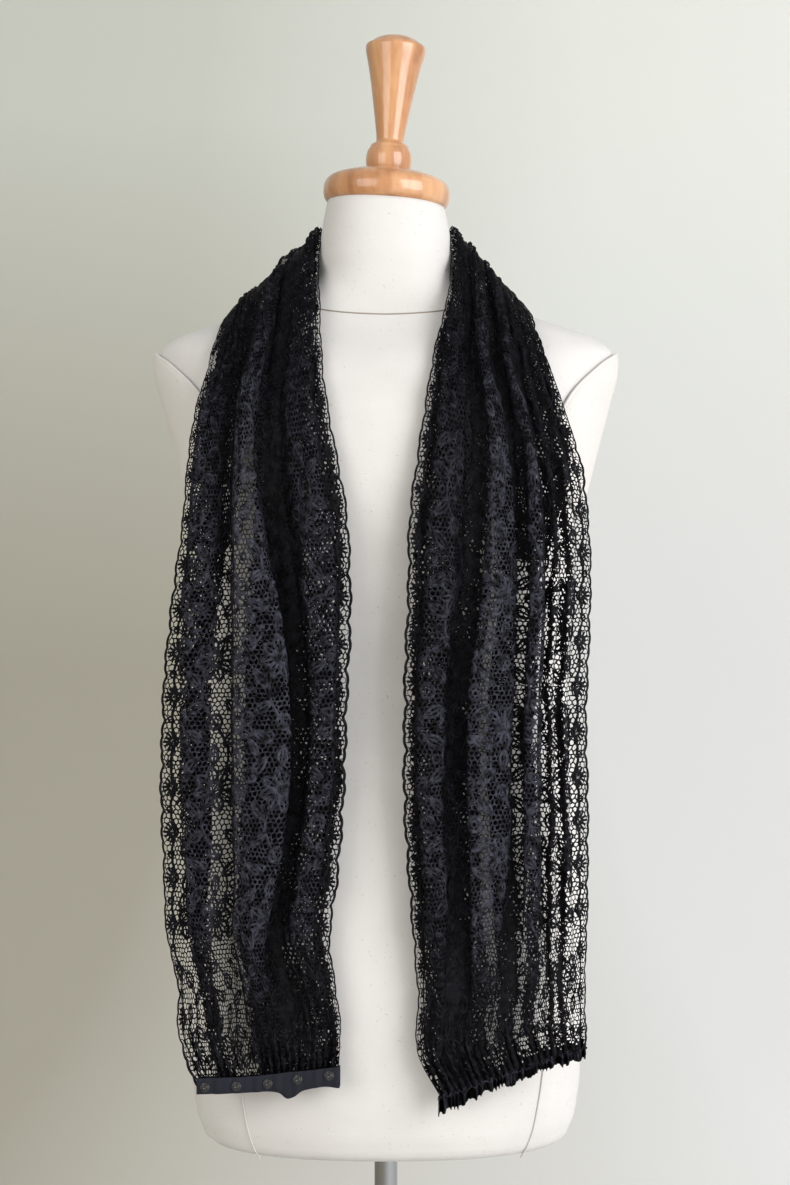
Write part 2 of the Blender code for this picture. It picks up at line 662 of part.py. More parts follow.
def skin_point(height, angle):
    """One point of the form's skin and the direction straight out of it."""
    step = 0.04
    angles = np.array([angle - step, angle, angle + step])
    heights = np.array([height - 0.004, height, height + 0.004])
    near = form_ring(heights, angles)
    out = np.cross(near[1, 2] - near[1, 0], near[2, 1] - near[0, 1])
    return near[1, 1], out / np.linalg.norm(out)


def build_arm_plate(name, side, look):
    """A padded oval that closes the armhole, made from the form's own skin moved out."""
    around = 16
    rings = (0.0, 0.3, 0.55, 0.80, 1.0)
    layers = []
    for lift in (1, 0):
        for share in rings if lift else rings[::-1]:
            layer = []
            for k in range(around):
                turn = 2 * math.pi * k / around
                angle = share * 0.70 * math.cos(turn)
                height = 0.1295 + share * 0.0665 * math.sin(turn)
                if side < 0:
                    angle = math.pi - angle
                skin, away = skin_point(height, angle)
                lifted = 0.0014 + 0.0022 * (1 - share**2)
                lifted += (0.0020 + 0.0034 * math.sqrt(1 - share**2)) * lift
                layer.append(skin + away * lifted)
            layers.append(layer)
    verts = [layers[0][0]]
    for layer in layers[1:-1]:
        verts.extend(layer)
    verts.append(layers[-1][0])
    faces = []
    count = len(layers) - 2
    for k in range(around):
        n = (k + 1) % around
        faces.append((0, 1 + k, 1 + n))
        for r in range(count - 1):
            a = 1 + r * around
            faces.append((a + k, a + around + k, a + around + n, a + n))
        last = 1 + (count - 1) * around
        faces.append((last + k, len(verts) - 1, last + n))
    return solid(name, verts, faces, look)


def turned(name, profile, around, look, origin=(0.0, 0.0, 0.0), lean=0.0):
    """A round solid turned from a profile of radius and height rows, leant towards +X."""
    verts = []
    for radius, height in profile:
        for k in range(around):
            angle = 2 * math.pi * k / around
            x = radius * math.cos(angle)
            y = radius * math.sin(angle)
            verts.append(
                (
                    origin[0] + x * math.cos(lean) + height * math.sin(lean),
                    origin[1] + y,
                    origin[2] + height * math.cos(lean) - x * math.sin(lean),
                )
            )
    return solid(name, verts, ring_faces(len(profile), around), look)


# Profiles of radius and height, in metres, above the neck top
CAP_DISC = (
    (0.0470, 0.0000),
    (0.0505, 0.0015),
    (0.0525, 0.0060),
    (0.0528, 0.0120),
    (0.0515, 0.0175),
    (0.0480, 0.0215),
    (0.0420, 0.0240),
    (0.0360, 0.0252),
    (0.0340, 0.0270),
    (0.0180, 0.0276),
)
CAP_FINIAL = (
    (0.0170, 0.0000),
    (0.0185, 0.0040),
    (0.0192, 0.0095),
    (0.0188, 0.0150),
    (0.0174, 0.0185),
    (0.0162, 0.0192),
    (0.0160, 0.0215),
    (0.0140, 0.0232),
    (0.0108, 0.0240),
    (0.0120, 0.0330),
    (0.0165, 0.0600),
    (0.0212, 0.0860),
    (0.0247, 0.0985),
    (0.0252, 0.1030),
    (0.0240, 0.1055),
    (0.0205, 0.1062),
    (0.0200, 0.1078),
    (0.0140, 0.1115),
    (0.0060, 0.1130),
)


def build_cap(look):
    """The turned wooden cap: a thick disc on the neck and a finial screwed into it."""
    neck_top = EYE + 0.3200 + GAP
    turned("cap_disc", CAP_DISC, 22, look, (0.0, 0.0, neck_top), NECK_LEAN)
    up = CAP_DISC[-1][1] + GAP
    seat = (up * math.sin(NECK_LEAN), 0.0, neck_top + up * math.cos(NECK_LEAN))
    turned("cap_finial", CAP_FINIAL, 16, look, seat, NECK_LEAN)


def build_stand(look):
    """A plain round base with a pole that holds the form."""
    profile = (
        (BASE_RADIUS - 0.002, 0.0),
        (BASE_RADIUS, 0.002),
        (BASE_RADIUS, 0.006),
        (BASE_RADIUS - 0.004, 0.010),
        (0.060, 0.0135),
        (0.022, BASE_HEIGHT),
    )
    turned("stand_base", profile, 28, look)
    pole = (
        (POLE_RADIUS * 1.9, BASE_HEIGHT + GAP),
        (POLE_RADIUS * 1.9, BASE_HEIGHT + 0.010),
        (POLE_RADIUS * 1.5, BASE_HEIGHT + 0.014),
        (POLE_RADIUS, BASE_HEIGHT + 0.015),
        (POLE_RADIUS, FORM_BOTTOM - GAP),
    )
    turned("stand_pole", pole, 16, look)


def main():
    start()
    linen = material("linen_cover", (0.76, 0.73, 0.68), 0.92)
    plate = material("plate_cover", (0.74, 0.70, 0.65), 0.92)
    wood = material("varnished_wood", (0.60, 0.32, 0.14), 0.28)
    steel = material("stand_steel", (0.75, 0.76, 0.78), 0.18, 1.0)
    lace = material("black_lace", (0.018, 0.018, 0.026), 0.75)
    build_form(linen)
    build_arm_plate("arm_plate_left", -1, plate)
    build_arm_plate("arm_plate_right", 1, plate)
    build_cap(wood)
    build_stand(steel)
    left = np.linspace(0.0, FRONT_LENGTH - GAP / 2, FRONT_ROWS + 1)
    crest = FRONT_LENGTH + NECK_LENGTH
    neck = np.linspace(FRONT_LENGTH + GAP / 2, crest - GAP / 2, NECK_ROWS + 1)
    right = np.linspace(crest + GAP / 2, crest + FRONT_LENGTH, FRONT_ROWS + 1)
    cloth_wall("shawl_left_front", left, lace)
    cloth_wall("shawl_neck_back", neck, lace)
    cloth_wall("shawl_right_front", right, lace)
    tape = material("band_cotton", (0.030, 0.032, 0.045), 0.60)
    black = material("stud_enamel", (0.010, 0.010, 0.012), 0.25, 0.4)
    build_band(tape)
    build_studs(black)
    build_ruffle(lace)


main()
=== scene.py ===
"""Finishes of a black lace shawl on a cream dress form, in metres, Z up, front towards -Y.

The lace is real geometry: a net of hexagons laid flat in the strip's own measure, with raised
strokes for its flowers, leaves and borders, carried onto the folded surface of the shawl.
"""

import math

import bpy
import numpy as np
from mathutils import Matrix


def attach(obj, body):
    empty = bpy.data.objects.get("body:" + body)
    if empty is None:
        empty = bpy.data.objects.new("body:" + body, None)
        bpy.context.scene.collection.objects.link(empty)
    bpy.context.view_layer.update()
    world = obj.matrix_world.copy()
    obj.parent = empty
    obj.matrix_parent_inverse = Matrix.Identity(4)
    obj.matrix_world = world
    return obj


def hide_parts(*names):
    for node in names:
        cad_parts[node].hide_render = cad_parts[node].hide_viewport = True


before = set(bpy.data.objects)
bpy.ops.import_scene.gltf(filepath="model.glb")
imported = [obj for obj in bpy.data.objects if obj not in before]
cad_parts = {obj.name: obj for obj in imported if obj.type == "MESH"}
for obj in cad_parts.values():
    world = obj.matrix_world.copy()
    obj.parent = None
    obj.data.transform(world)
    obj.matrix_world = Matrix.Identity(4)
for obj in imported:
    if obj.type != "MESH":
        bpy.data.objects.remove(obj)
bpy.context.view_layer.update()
scene = bpy.context.scene

# Sizes that the solids were made with
EYE = 0.705
GAP = 0.0003
UP = np.array([0.0, 0.0, 1.0])
NECK_LEAN = math.radians(3.6)
FORM_SQUARE = 2.3
FORM_AROUND = 128
CLOTH_WIDTH = 0.300
FRONT_LENGTH = 0.672
NECK_LENGTH = 0.288
WHOLE_LENGTH = 2 * FRONT_LENGTH + NECK_LENGTH
COLUMNS = 48
FRONT_ROWS = 20
NECK_ROWS = 12
GATHERS = 24
GATHER_DEPTH = 0.0023
REPEAT_WIDTH = 0.075
REPEAT_LENGTH = 0.096
BASE_RADIUS = 0.150
BASE_HEIGHT = 0.016
POLE_RADIUS = 0.0095
FORM_BOTTOM = EYE - 0.452

# Camera, level at the height of the photograph's middle
LENS = 64.5
CAMERA_X = 0.0075
CAMERA_Y = -1.76

# Ring sizes of the form: height from the eye line, half width, depth to the front, depth to the back
FORM_RINGS = (
    (-0.4520, 0.118, 0.072, 0.080),
    (-0.4515, 0.132, 0.082, 0.090),
    (-0.4470, 0.144, 0.092, 0.100),
    (-0.4350, 0.153, 0.100, 0.109),
    (-0.4140, 0.158, 0.105, 0.115),
    (-0.3730, 0.161, 0.108, 0.119),
    (-0.3100, 0.164, 0.109, 0.121),
    (-0.2300, 0.163, 0.107, 0.117),
    (-0.1400, 0.156, 0.102, 0.107),
    (-0.0500, 0.150, 0.099, 0.098),
    (0.0200, 0.152, 0.106, 0.097),
    (0.0800, 0.159, 0.116, 0.101),
    (0.1250, 0.168, 0.117, 0.105),
    (0.1600, 0.178, 0.108, 0.106),
    (0.1850, 0.186, 0.094, 0.100),
    (0.2000, 0.186, 0.080, 0.092),
    (0.2100, 0.172, 0.070, 0.085),
    (0.2220, 0.137, 0.061, 0.077),
    (0.2340, 0.101, 0.056, 0.070),
    (0.2460, 0.074, 0.054, 0.063),
    (0.2580, 0.060, 0.053, 0.058),
    (0.2750, 0.0565, 0.0545, 0.0565),
    (0.3000, 0.0530, 0.0520, 0.0530),
    (0.3200, 0.0490, 0.0490, 0.0490),
)

# Long edges of the strip, from the left hem over the neck to the right hem.
# Columns: outer edge x, y and height, then inner edge x, y and height, heights from the eye line
LEFT_EDGES = (
    (-0.1430, -0.112, -0.3855, -0.0380, -0.118, -0.3770),
    (-0.1490, -0.110, -0.3700, -0.0355, -0.118, -0.3640),
    (-0.1590, -0.106, -0.3450, -0.0345, -0.120, -0.3380),
    (-0.1610, -0.103, -0.3100, -0.0380, -0.122, -0.3080),
    (-0.1700, -0.100, -0.2700, -0.0430, -0.123, -0.2680),
    (-0.1720, -0.098, -0.2200, -0.0375, -0.124, -0.2200),
    (-0.1750, -0.096, -0.1500, -0.0312, -0.125, -0.1480),
    (-0.1725, -0.096, -0.0850, -0.0300, -0.126, -0.0800),
    (-0.1660, -0.098, -0.0100, -0.0272, -0.127, 0.0000),
    (-0.1580, -0.101, 0.0460, -0.0300, -0.128, 0.0600),
    (-0.1540, -0.102, 0.0950, -0.0390, -0.125, 0.1130),
    (-0.1510, -0.100, 0.1250, -0.0460, -0.117, 0.1550),
    (-0.1470, -0.093, 0.1500, -0.0500, -0.0925, 0.1930),
    (-0.1410, -0.086, 0.1700, -0.0525, -0.0645, 0.2330),
    (-0.1365, -0.0725, 0.1950, -0.0550, -0.030, 0.2690),
    (-0.1300, -0.030, 0.2236, -0.0537, -0.008, 0.2930),
)
RIGHT_EDGES = (
    (0.1145, -0.030, 0.2290, 0.0533, -0.008, 0.2955),
    (0.1205, -0.070, 0.2035, 0.0532, -0.030, 0.2690),
    (0.1285, -0.086, 0.1800, 0.0492, -0.0645, 0.2340),
    (0.1365, -0.093, 0.1545, 0.0392, -0.0925, 0.1940),
    (0.1450, -0.098, 0.1230, 0.0325, -0.117, 0.1550),
    (0.1525, -0.102, 0.0930, 0.0268, -0.126, 0.1150),
    (0.1585, -0.104, 0.0420, 0.0190, -0.129, 0.0550),
    (0.1585, -0.102, -0.0100, 0.0183, -0.128, -0.0050),
    (0.1560, -0.099, -0.0830, 0.0150, -0.127, -0.0780),
    (0.1570, -0.098, -0.1480, 0.0142, -0.126, -0.1450),
    (0.1570, -0.099, -0.2120, 0.0185, -0.125, -0.2150),
    (0.1565, -0.101, -0.2600, 0.0222, -0.124, -0.2680),
    (0.1550, -0.104, -0.3000, 0.0258, -0.122, -0.3160),
    (0.1540, -0.108, -0.3300, 0.0250, -0.121, -0.3560),
    (0.1540, -0.112, -0.3520, 0.0420, -0.121, -0.3890),
)

# Fold lines. Depth is how far the cloth stands out there in millimetres. The other columns say
# where the line lies, as a share of the way from the outer edge to the inner edge,
# at the neck, the shoulder, the chest, the middle and the low part of the hanging end.
FOLD_PLACES = (0.0, 0.090, 0.190, 0.400, 0.600)
LEFT_FOLDS = (
    # name, depth, neck, shoulder, chest, middle, low
    ("outer edge", 2.0, 0.00, 0.00, 0.00, 0.00, 0.00),
    ("outer strip", 5.0, 0.12, 0.10, 0.06, 0.07, 0.07),
    ("first fold under", 0.0, 0.27, 0.24, 0.19, 0.26, 0.25),
    ("first fold root", 6.5, 0.28, 0.25, 0.20, 0.28, 0.26),
    ("first fold lip", 9.5, 0.19, 0.15, 0.07, 0.11, 0.175),
    ("first fold turn", 16.5, 0.18, 0.14, 0.06, 0.11, 0.17),
    ("first fold top", 18.0, 0.30, 0.25, 0.19, 0.26, 0.29),
    ("thin strip", 11.0, 0.44, 0.36, 0.26, 0.33, 0.38),
    ("deep valley", 1.0, 0.57, 0.46, 0.33, 0.40, 0.44),
    ("middle fold wall", 12.0, 0.59, 0.48, 0.36, 0.40, 0.44),
    ("middle fold rise", 24.0, 0.64, 0.50, 0.38, 0.42, 0.46),
    ("middle fold top", 27.0, 0.70, 0.55, 0.43, 0.55, 0.53),
    ("middle fold brow", 25.0, 0.76, 0.60, 0.48, 0.68, 0.58),
    ("middle fold lip", 19.0, 0.80, 0.65, 0.52, 0.76, 0.64),
    ("middle fold under", 13.0, 0.77, 0.62, 0.49, 0.66, 0.60),
    ("middle fold back", 10.5, 0.74, 0.59, 0.47, 0.53, 0.55),
    ("middle fold turn", 3.0, 0.75, 0.60, 0.48, 0.54, 0.56),
    ("middle fold root", 1.0, 0.82, 0.67, 0.54, 0.72, 0.62),
    ("inner valley", 1.0, 0.86, 0.73, 0.62, 0.79, 0.69),
    ("inner fold wall", 9.0, 0.88, 0.76, 0.66, 0.82, 0.73),
    ("inner fold rise", 16.0, 0.91, 0.81, 0.72, 0.84, 0.77),
    ("inner fold top", 17.0, 0.95, 0.89, 0.84, 0.91, 0.84),
    ("inner fold lip", 13.0, 0.99, 0.97, 0.95, 0.98, 0.92),
    ("inner fold under", 5.0, 0.96, 0.92, 0.88, 0.91, 0.86),
    ("inner edge", 3.0, 1.00, 1.00, 1.00, 1.00, 1.00),
)
RIGHT_FOLDS = (
    # name, depth, neck, shoulder, chest, middle, low
    ("outer edge", 2.0, 0.00, 0.00, 0.00, 0.00, 0.00),
    ("outer strip", 6.0, 0.14, 0.12, 0.08, 0.06, 0.06),
    ("first crease", 3.0, 0.22, 0.18, 0.10, 0.10, 0.095),
    ("first ridge", 15.0, 0.27, 0.22, 0.15, 0.125, 0.125),
    ("second crease", 3.0, 0.32, 0.26, 0.20, 0.15, 0.155),
    ("second strip", 3.0, 0.38, 0.31, 0.215, 0.18, 0.18),
    ("second ridge", 12.0, 0.42, 0.35, 0.245, 0.205, 0.21),
    ("third crease", 3.0, 0.47, 0.40, 0.28, 0.23, 0.24),
    ("outer valley", 1.5, 0.53, 0.45, 0.315, 0.28, 0.30),
    ("third fold wall", 10.0, 0.54, 0.46, 0.325, 0.27, 0.295),
    ("third fold rise", 19.0, 0.56, 0.48, 0.34, 0.28, 0.32),
    ("third fold top", 22.0, 0.60, 0.52, 0.37, 0.32, 0.37),
    ("third fold lip", 16.0, 0.65, 0.57, 0.42, 0.38, 0.43),
    ("third fold under", 11.0, 0.62, 0.54, 0.39, 0.33, 0.385),
    ("third fold turn", 3.5, 0.62, 0.54, 0.39, 0.33, 0.37),
    ("third fold root", 1.5, 0.69, 0.61, 0.46, 0.46, 0.48),
    ("fourth fold under", 0.5, 0.71, 0.65, 0.50, 0.55, 0.56),
    ("fourth fold turn", 6.0, 0.71, 0.65, 0.50, 0.54, 0.55),
    ("fourth fold lip", 9.5, 0.70, 0.63, 0.47, 0.43, 0.48),
    ("fourth fold rise", 16.0, 0.72, 0.65, 0.49, 0.45, 0.50),
    ("fourth fold slope", 20.0, 0.74, 0.68, 0.53, 0.56, 0.58),
    ("fourth fold top", 22.0, 0.78, 0.73, 0.58, 0.64, 0.66),
    ("fourth fold brow", 18.0, 0.82, 0.77, 0.63, 0.70, 0.71),
    ("fourth fold tuck", 11.5, 0.78, 0.73, 0.57, 0.62, 0.63),
    ("fourth fold back", 4.5, 0.78, 0.73, 0.57, 0.61, 0.62),
    ("inner valley", 1.0, 0.87, 0.82, 0.68, 0.75, 0.75),
    ("inner fold wall", 8.0, 0.90, 0.86, 0.73, 0.80, 0.80),
    ("inner fold rise", 15.0, 0.92, 0.88, 0.77, 0.82, 0.82),
    ("inner fold top", 16.0, 0.95, 0.92, 0.86, 0.90, 0.89),
    ("inner fold lip", 11.0, 0.99, 0.98, 0.95, 0.98, 0.96),
    ("inner fold under", 6.0, 0.95, 0.92, 0.87, 0.90, 0.88),
    ("inner edge", 3.0, 1.00, 1.00, 1.00, 1.00, 1.00),
)

# How deep the folds stand at each of the fold places, as a share of the depths above
FOLD_DEPTHS = (0.17, 0.62, 0.96, 1.00, 0.95)

# How far the folds lap over themselves there, as a share of the laps in the fold tables
FOLD_LAPS = (0.50, 0.52, 0.65, 1.00, 0.84)

BAND_STATIONS = (
    (0.00, 11.0, -2.0),
    (0.08, 10.6, -2.3),
    (0.16, 10.2, -2.8),
    (0.28, 9.6, -3.2),
    (0.40, 9.4, -3.5),
    (0.52, 9.8, -4.0),
    (0.58, 10.2, -5.4),
    (0.63, 10.6, -10.0),
    (0.68, 10.8, -9.2),
    (0.73, 10.8, -5.6),
    (0.80, 11.2, -3.6),
    (0.90, 11.8, -2.8),
    (1.00, 12.2, -4.6),
)
BAND_DEPTH = 0.0056
BAND_WALL = 0.0013
STUD_PLACES = ((0.06, 3.4), (0.28, 2.6), (0.50, 2.8), (0.71, 4.6), (0.93, 6.0))
STUD_RADIUS = 0.0037
RUFFLE_HEIGHT = 0.0135

# Profiles of radius and height, in metres, above the neck top
CAP_DISC = (
    (0.0470, 0.0000),
    (0.0505, 0.0015),
    (0.0525, 0.0060),
    (0.0528, 0.0120),
    (0.0515, 0.0175),
    (0.0480, 0.0215),
    (0.0420, 0.0240),
    (0.0360, 0.0252),
    (0.0340, 0.0270),
    (0.0180, 0.0276),
)
CAP_FINIAL = (
    (0.0170, 0.0000),
    (0.0185, 0.0040),
    (0.0192, 0.0095),
    (0.0188, 0.0150),
    (0.0174, 0.0185),
    (0.0162, 0.0192),
    (0.0160, 0.0215),
    (0.0140, 0.0232),
    (0.0108, 0.0240),
    (0.0120, 0.0330),
    (0.0165, 0.0600),
    (0.0212, 0.0860),
    (0.0247, 0.0985),
    (0.0252, 0.1030),
    (0.0240, 0.1055),
    (0.0205, 0.1062),
    (0.0200, 0.1078),
    (0.0140, 0.1115),
    (0.0060, 0.1130),
)


def along(knots, table, at):
    """Smooth curve through the rows of a table, one row a knot, read at the places given."""
    knots = np.asarray(knots, float)
    table = np.asarray(table, float)
    at = np.clip(np.asarray(at, float), knots[0], knots[-1])
    step = np.diff(knots)
    rise = np.diff(table, axis=0) / step[:, None]
    slope = np.empty_like(table)
    slope[1:-1] = (rise[:-1] * step[1:, None] + rise[1:] * step[:-1, None]) / (
        step[:-1] + step[1:]
    )[:, None]
    slope[0] = rise[0]
    slope[-1] = rise[-1]
    k = np.clip(np.searchsorted(knots, at, side="right") - 1, 0, len(step) - 1)
    h = step[k][:, None]
    t = ((at - knots[k]) / step[k])[:, None]
    t2 = t * t
    t3 = t2 * t
    return (
        (2 * t3 - 3 * t2 + 1) * table[k]
        + (t3 - 2 * t2 + t) * h * slope[k]
        + (3 * t2 - 2 * t3) * table[k + 1]
        + (t3 - t2) * h * slope[k + 1]
    )


def ease(value, low, high):
    """Runs smoothly from 0 at low to 1 at high."""
    t = np.clip((np.asarray(value, float) - low) / (high - low), 0.0, 1.0)
    return t * t * (3.0 - 2.0 * t)


def neck_edges(count):
    """Rows round the back of the neck, from the left crest of the shoulder to the right one."""
    turn = np.linspace(0.0, math.pi, count)
    side = -np.cos(turn)
    back = np.sin(turn)
    lean = 0.5 + 0.5 * side
    outer = np.stack(
        [
            side * (0.1285 - 0.0160 * lean),
            0.010 + 0.094 * back**0.8,
            0.2282 + 0.0045 * lean - 0.0260 * back**2,
        ],
        axis=1,
    )
    inner = np.stack(
        [side * 0.0549, 0.010 + 0.0485 * back, 0.304 + 0.001 * lean - 0.008 * back],
        axis=1,
    )
    return np.concatenate([outer, inner], axis=1)


def edge_rows():
    """All rows of the strip and the cloth length at each, from left hem to right hem."""
    left = np.array(LEFT_EDGES)
    right = np.array(RIGHT_EDGES)
    neck = neck_edges(9)
    places = []
    for rows, start_at, length in (
        (np.concatenate([left, neck[:1]]), 0.0, FRONT_LENGTH),
        (neck, FRONT_LENGTH, NECK_LENGTH),
        (np.concatenate([neck[-1:], right]), FRONT_LENGTH + NECK_LENGTH, FRONT_LENGTH),
    ):
        steps = np.linalg.norm(np.diff(rows[:, :3], axis=0), axis=1)
        steps = steps + np.linalg.norm(np.diff(rows[:, 3:], axis=0), axis=1)
        run = np.concatenate([[0.0], np.cumsum(steps)])
        places.append(start_at + length * run / run[-1])
    table = np.concatenate([left, neck, right])
    knots = np.concatenate([places[0][:-1], places[1], places[2][1:]])
    return knots, table


def spline_matrix(count, steps):
    """Weights of a smooth curve that follows a chain of points and ends on its end points."""
    total = (count - 1) * steps + 1
    at = np.linspace(0.0, count - 1.0, total)
    k = np.minimum(at.astype(int), count - 2)
    t = at - k
    weights = np.zeros((total, count + 2))
    rows = np.arange(total)
    weights[rows, k] += (1 - t) ** 3 / 6
    weights[rows, k + 1] += (3 * t**3 - 6 * t**2 + 4) / 6
    weights[rows, k + 2] += (-3 * t**3 + 3 * t**2 + 3 * t + 1) / 6
    weights[rows, k + 3] += t**3 / 6
    inside = weights[:, 1:-1].copy()
    inside[:, 0] += 2 * weights[:, 0]
    inside[:, 1] -= weights[:, 0]
    inside[:, -1] += 2 * weights[:, -1]
    inside[:, -2] -= weights[:, -1]
    return inside


def fold_profile(folds, drop, width, shares, loose):
    """Place and depth of the cloth across the strip, at each drop below the crest.

    The zigzag of the fold lines is made larger or smaller until the cloth measured along the
    folds is as wide as the strip lies flat. Where loose is above 0 the folds open out."""
    depth = np.array([row[1] for row in folds]) / 1000.0
    lines = np.array([row[2:] for row in folds])
    place = along(FOLD_PLACES, lines.T, drop)
    scale = along(FOLD_PLACES, np.array(FOLD_DEPTHS)[:, None], drop)
    laps = along(FOLD_PLACES, np.array(FOLD_LAPS)[:, None], drop)[:, 0]
    count = len(folds)
    index = np.arange(count)
    near = np.exp(-((index[:, None] - index[None, :]) ** 2) / (2 * 2.2**2))
    near[:, 0] = near[:, 0] * 0.5
    near[:, -1] = near[:, -1] * 0.5
    near = near / near.sum(axis=1, keepdims=True)
    trend = place @ near.T
    ends = (index / (count - 1.0))[None, :]
    trend = trend + (place[:, :1] - trend[:, :1]) * (1 - ends) + (place[:, -1:] - trend[:, -1:]) * ends
    curve = spline_matrix(count, 8)

    def shape(grow):
        across = (trend + grow[:, None] * (place - trend)) @ curve.T
        out = (scale * depth[None, :] * (0.30 + 0.70 * grow[:, None])) @ curve.T
        run = np.hypot(np.diff(across, axis=1) * width[:, None], np.diff(out, axis=1))
        length = np.concatenate([np.zeros((len(drop), 1)), np.cumsum(run, axis=1)], axis=1)
        return across, out, length

    low = np.full(len(drop), 0.40)
    high = np.full(len(drop), 1.16)
    for _ in range(22):
        middle = 0.5 * (low + high)
        short = shape(middle)[2][:, -1] < CLOTH_WIDTH
        low = np.where(short, middle, low)
        high = np.where(short, high, middle)
    across, out, length = shape(0.5 * (low + high) * laps * (1 - 0.85 * loose))
    level = 2.0 * np.arange(len(drop))[:, None]
    share = (length / length[:, -1:] + level).ravel()
    wanted = (np.asarray(shares)[None, :] + level).ravel()
    shape_to = (len(drop), len(shares))
    return (
        np.interp(wanted, share, across.ravel()).reshape(shape_to),
        np.interp(wanted, share, out.ravel()).reshape(shape_to),
    )


def shawl_points(lengths, shares):
    """Points of the shawl's middle surface, one row a cloth length, one column a share across.

    Each row is a section of the strip. Its base line runs from the outer edge to the inner
    edge, and the folds stand out from that line, away from the form."""
    lengths = np.asarray(lengths, float)
    shares = np.asarray(shares, float)
    knots, table = edge_rows()
    edges = along(knots, table, lengths)
    outer = edges[:, :3]
    inner = edges[:, 3:]
    step = 0.004
    ahead = along(knots, table, lengths + step)
    behind = along(knots, table, lengths - step)
    run = (ahead - behind)[:, :3] + (ahead - behind)[:, 3:]
    span = inner - outer
    width = np.linalg.norm(span, axis=1)
    away = np.cross(-run, span)
    away = away / np.linalg.norm(away, axis=1, keepdims=True)
    drop_left = np.clip(FRONT_LENGTH - lengths, 0.0, FRONT_LENGTH)
    drop_right = np.clip(lengths - FRONT_LENGTH - NECK_LENGTH, 0.0, FRONT_LENGTH)
    ring = (lengths - FRONT_LENGTH) / NECK_LENGTH
    to_hem = np.minimum(lengths, WHOLE_LENGTH - lengths)
    at_hem = 1 - ease(to_hem, 0.040, 0.150)
    left_loose = np.maximum(at_hem, ease(ring, 0.0, 0.26))
    right_loose = np.maximum(at_hem, 1 - ease(ring, 0.74, 1.0))
    left = fold_profile(LEFT_FOLDS, drop_left, width, shares, left_loose)
    right = fold_profile(RIGHT_FOLDS, drop_right, width, shares, right_loose)
    to_back = ease(ring, 0.12, 0.48)
    to_right = ease(ring, 0.52, 0.88)
    wave = 2 * math.pi * 5 * shares[None, :]
    soft_across = shares[None, :] - 0.010 * np.sin(wave) + 0 * left[0]
    soft_out = 0.0034 * (1 - np.cos(wave)) + 0 * left[0]
    keep_left = (1 - to_back)[:, None]
    keep_right = to_right[:, None]
    keep_soft = 1 - keep_left - keep_right
    across = keep_left * left[0] + keep_right * right[0] + keep_soft * soft_across
    out = keep_left * left[1] + keep_right * right[1] + keep_soft * soft_out
    even = (1 - ease(to_hem, 0.015, 0.080))[:, None]
    pucker = (1 - ease(to_hem, 0.006, 0.048))[:, None]
    across = (1 - even) * across + even * shares[None, :]
    flat_out = 0.0045 + GATHER_DEPTH * np.cos(2 * math.pi * GATHERS * shares)[None, :] * pucker
    out = (1 - even) * out + even * flat_out
    outer = outer + np.array([0.0, 0.0, EYE])
    return outer[:, None, :] + span[:, None, :] * across[..., None] + away[:, None, :] * out[..., None]


def hem_frame(side):
    """Outer end, inner end and outward direction of a hem, side 0 for left and 1 for right."""
    at = WHOLE_LENGTH if side else 0.0
    knots, table = edge_rows()
    ends = along(knots, table, np.array([at]))[0]
    outer = ends[:3] + np.array([0.0, 0.0, EYE])
    inner = ends[3:] + np.array([0.0, 0.0, EYE])
    span = inner - outer
    out = np.array([span[1], -span[0], 0.0])
    out = out / np.linalg.norm(out)
    if out[1] > 0:
        out = -out
    return outer, inner, out


# Meshes and materials


def mesh_object(name, points, polygons, look, smooth=True):
    """Makes an object from points and arrays of polygons, one array for each corner count."""
    points = np.asarray(points, float).reshape(-1, 3)
    polygons = [np.asarray(p, np.int32) for p in polygons if len(p)]
    used = np.unique(np.concatenate([p.ravel() for p in polygons]))
    renumber = np.full(len(points), -1, np.int32)
    renumber[used] = np.arange(len(used))
    loops = np.concatenate([renumber[p].ravel() for p in polygons])
    counts = np.concatenate([np.full(len(p), p.shape[1]) for p in polygons])
    mesh = bpy.data.meshes.new(name)
    mesh.vertices.add(len(used))
    mesh.vertices.foreach_set("co", points[used].ravel())
    mesh.loops.add(len(loops))
    mesh.loops.foreach_set("vertex_index", loops)
    mesh.polygons.add(len(counts))
    mesh.polygons.foreach_set("loop_start", np.concatenate([[0], np.cumsum(counts)[:-1]]))
    mesh.polygons.foreach_set("use_smooth", np.full(len(counts), smooth))
    mesh.update(calc_edges=True)
    mesh.materials.append(look)
    made = bpy.data.objects.new(name, mesh)
    scene.collection.objects.link(made)
    return made, used


def grid_quads(rows, columns, closed=False, offset=0):
    """Quads of a grid of points, row by row; closed joins the last column to the first."""
    r, c = np.meshgrid(np.arange(rows - 1), np.arange(columns if closed else columns - 1), indexing="ij")
    n = (c + 1) % columns
    low = r * columns
    high = low + columns
    quads = np.stack([low + c, low + n, high + n, high + c], axis=-1)
    return quads.reshape(-1, 4) + offset


def piece(made, slot_name, *nodes):
    """Ties a piece to the part's one body and hides the solids it stands for. The slot name is not used."""
    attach(made, "root")
    if nodes:
        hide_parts(*nodes)
    return made


def surface_look(name, colour, roughness, **sockets):
    """A Principled material. Returns it with its node tree's nodes, links and shader."""
    made = bpy.data.materials.new(name)
    made.use_nodes = True
    nodes = made.node_tree.nodes
    shader = nodes["Principled BSDF"]
    shader.inputs["Base Color"].default_value = (*colour, 1.0)
    shader.inputs["Roughness"].default_value = roughness
    for label, value in sockets.items():
        shader.inputs[label.replace("_", " ")].default_value = value
    made.diffuse_color = (*colour, 1.0)
    return made, nodes, made.node_tree.links, shader


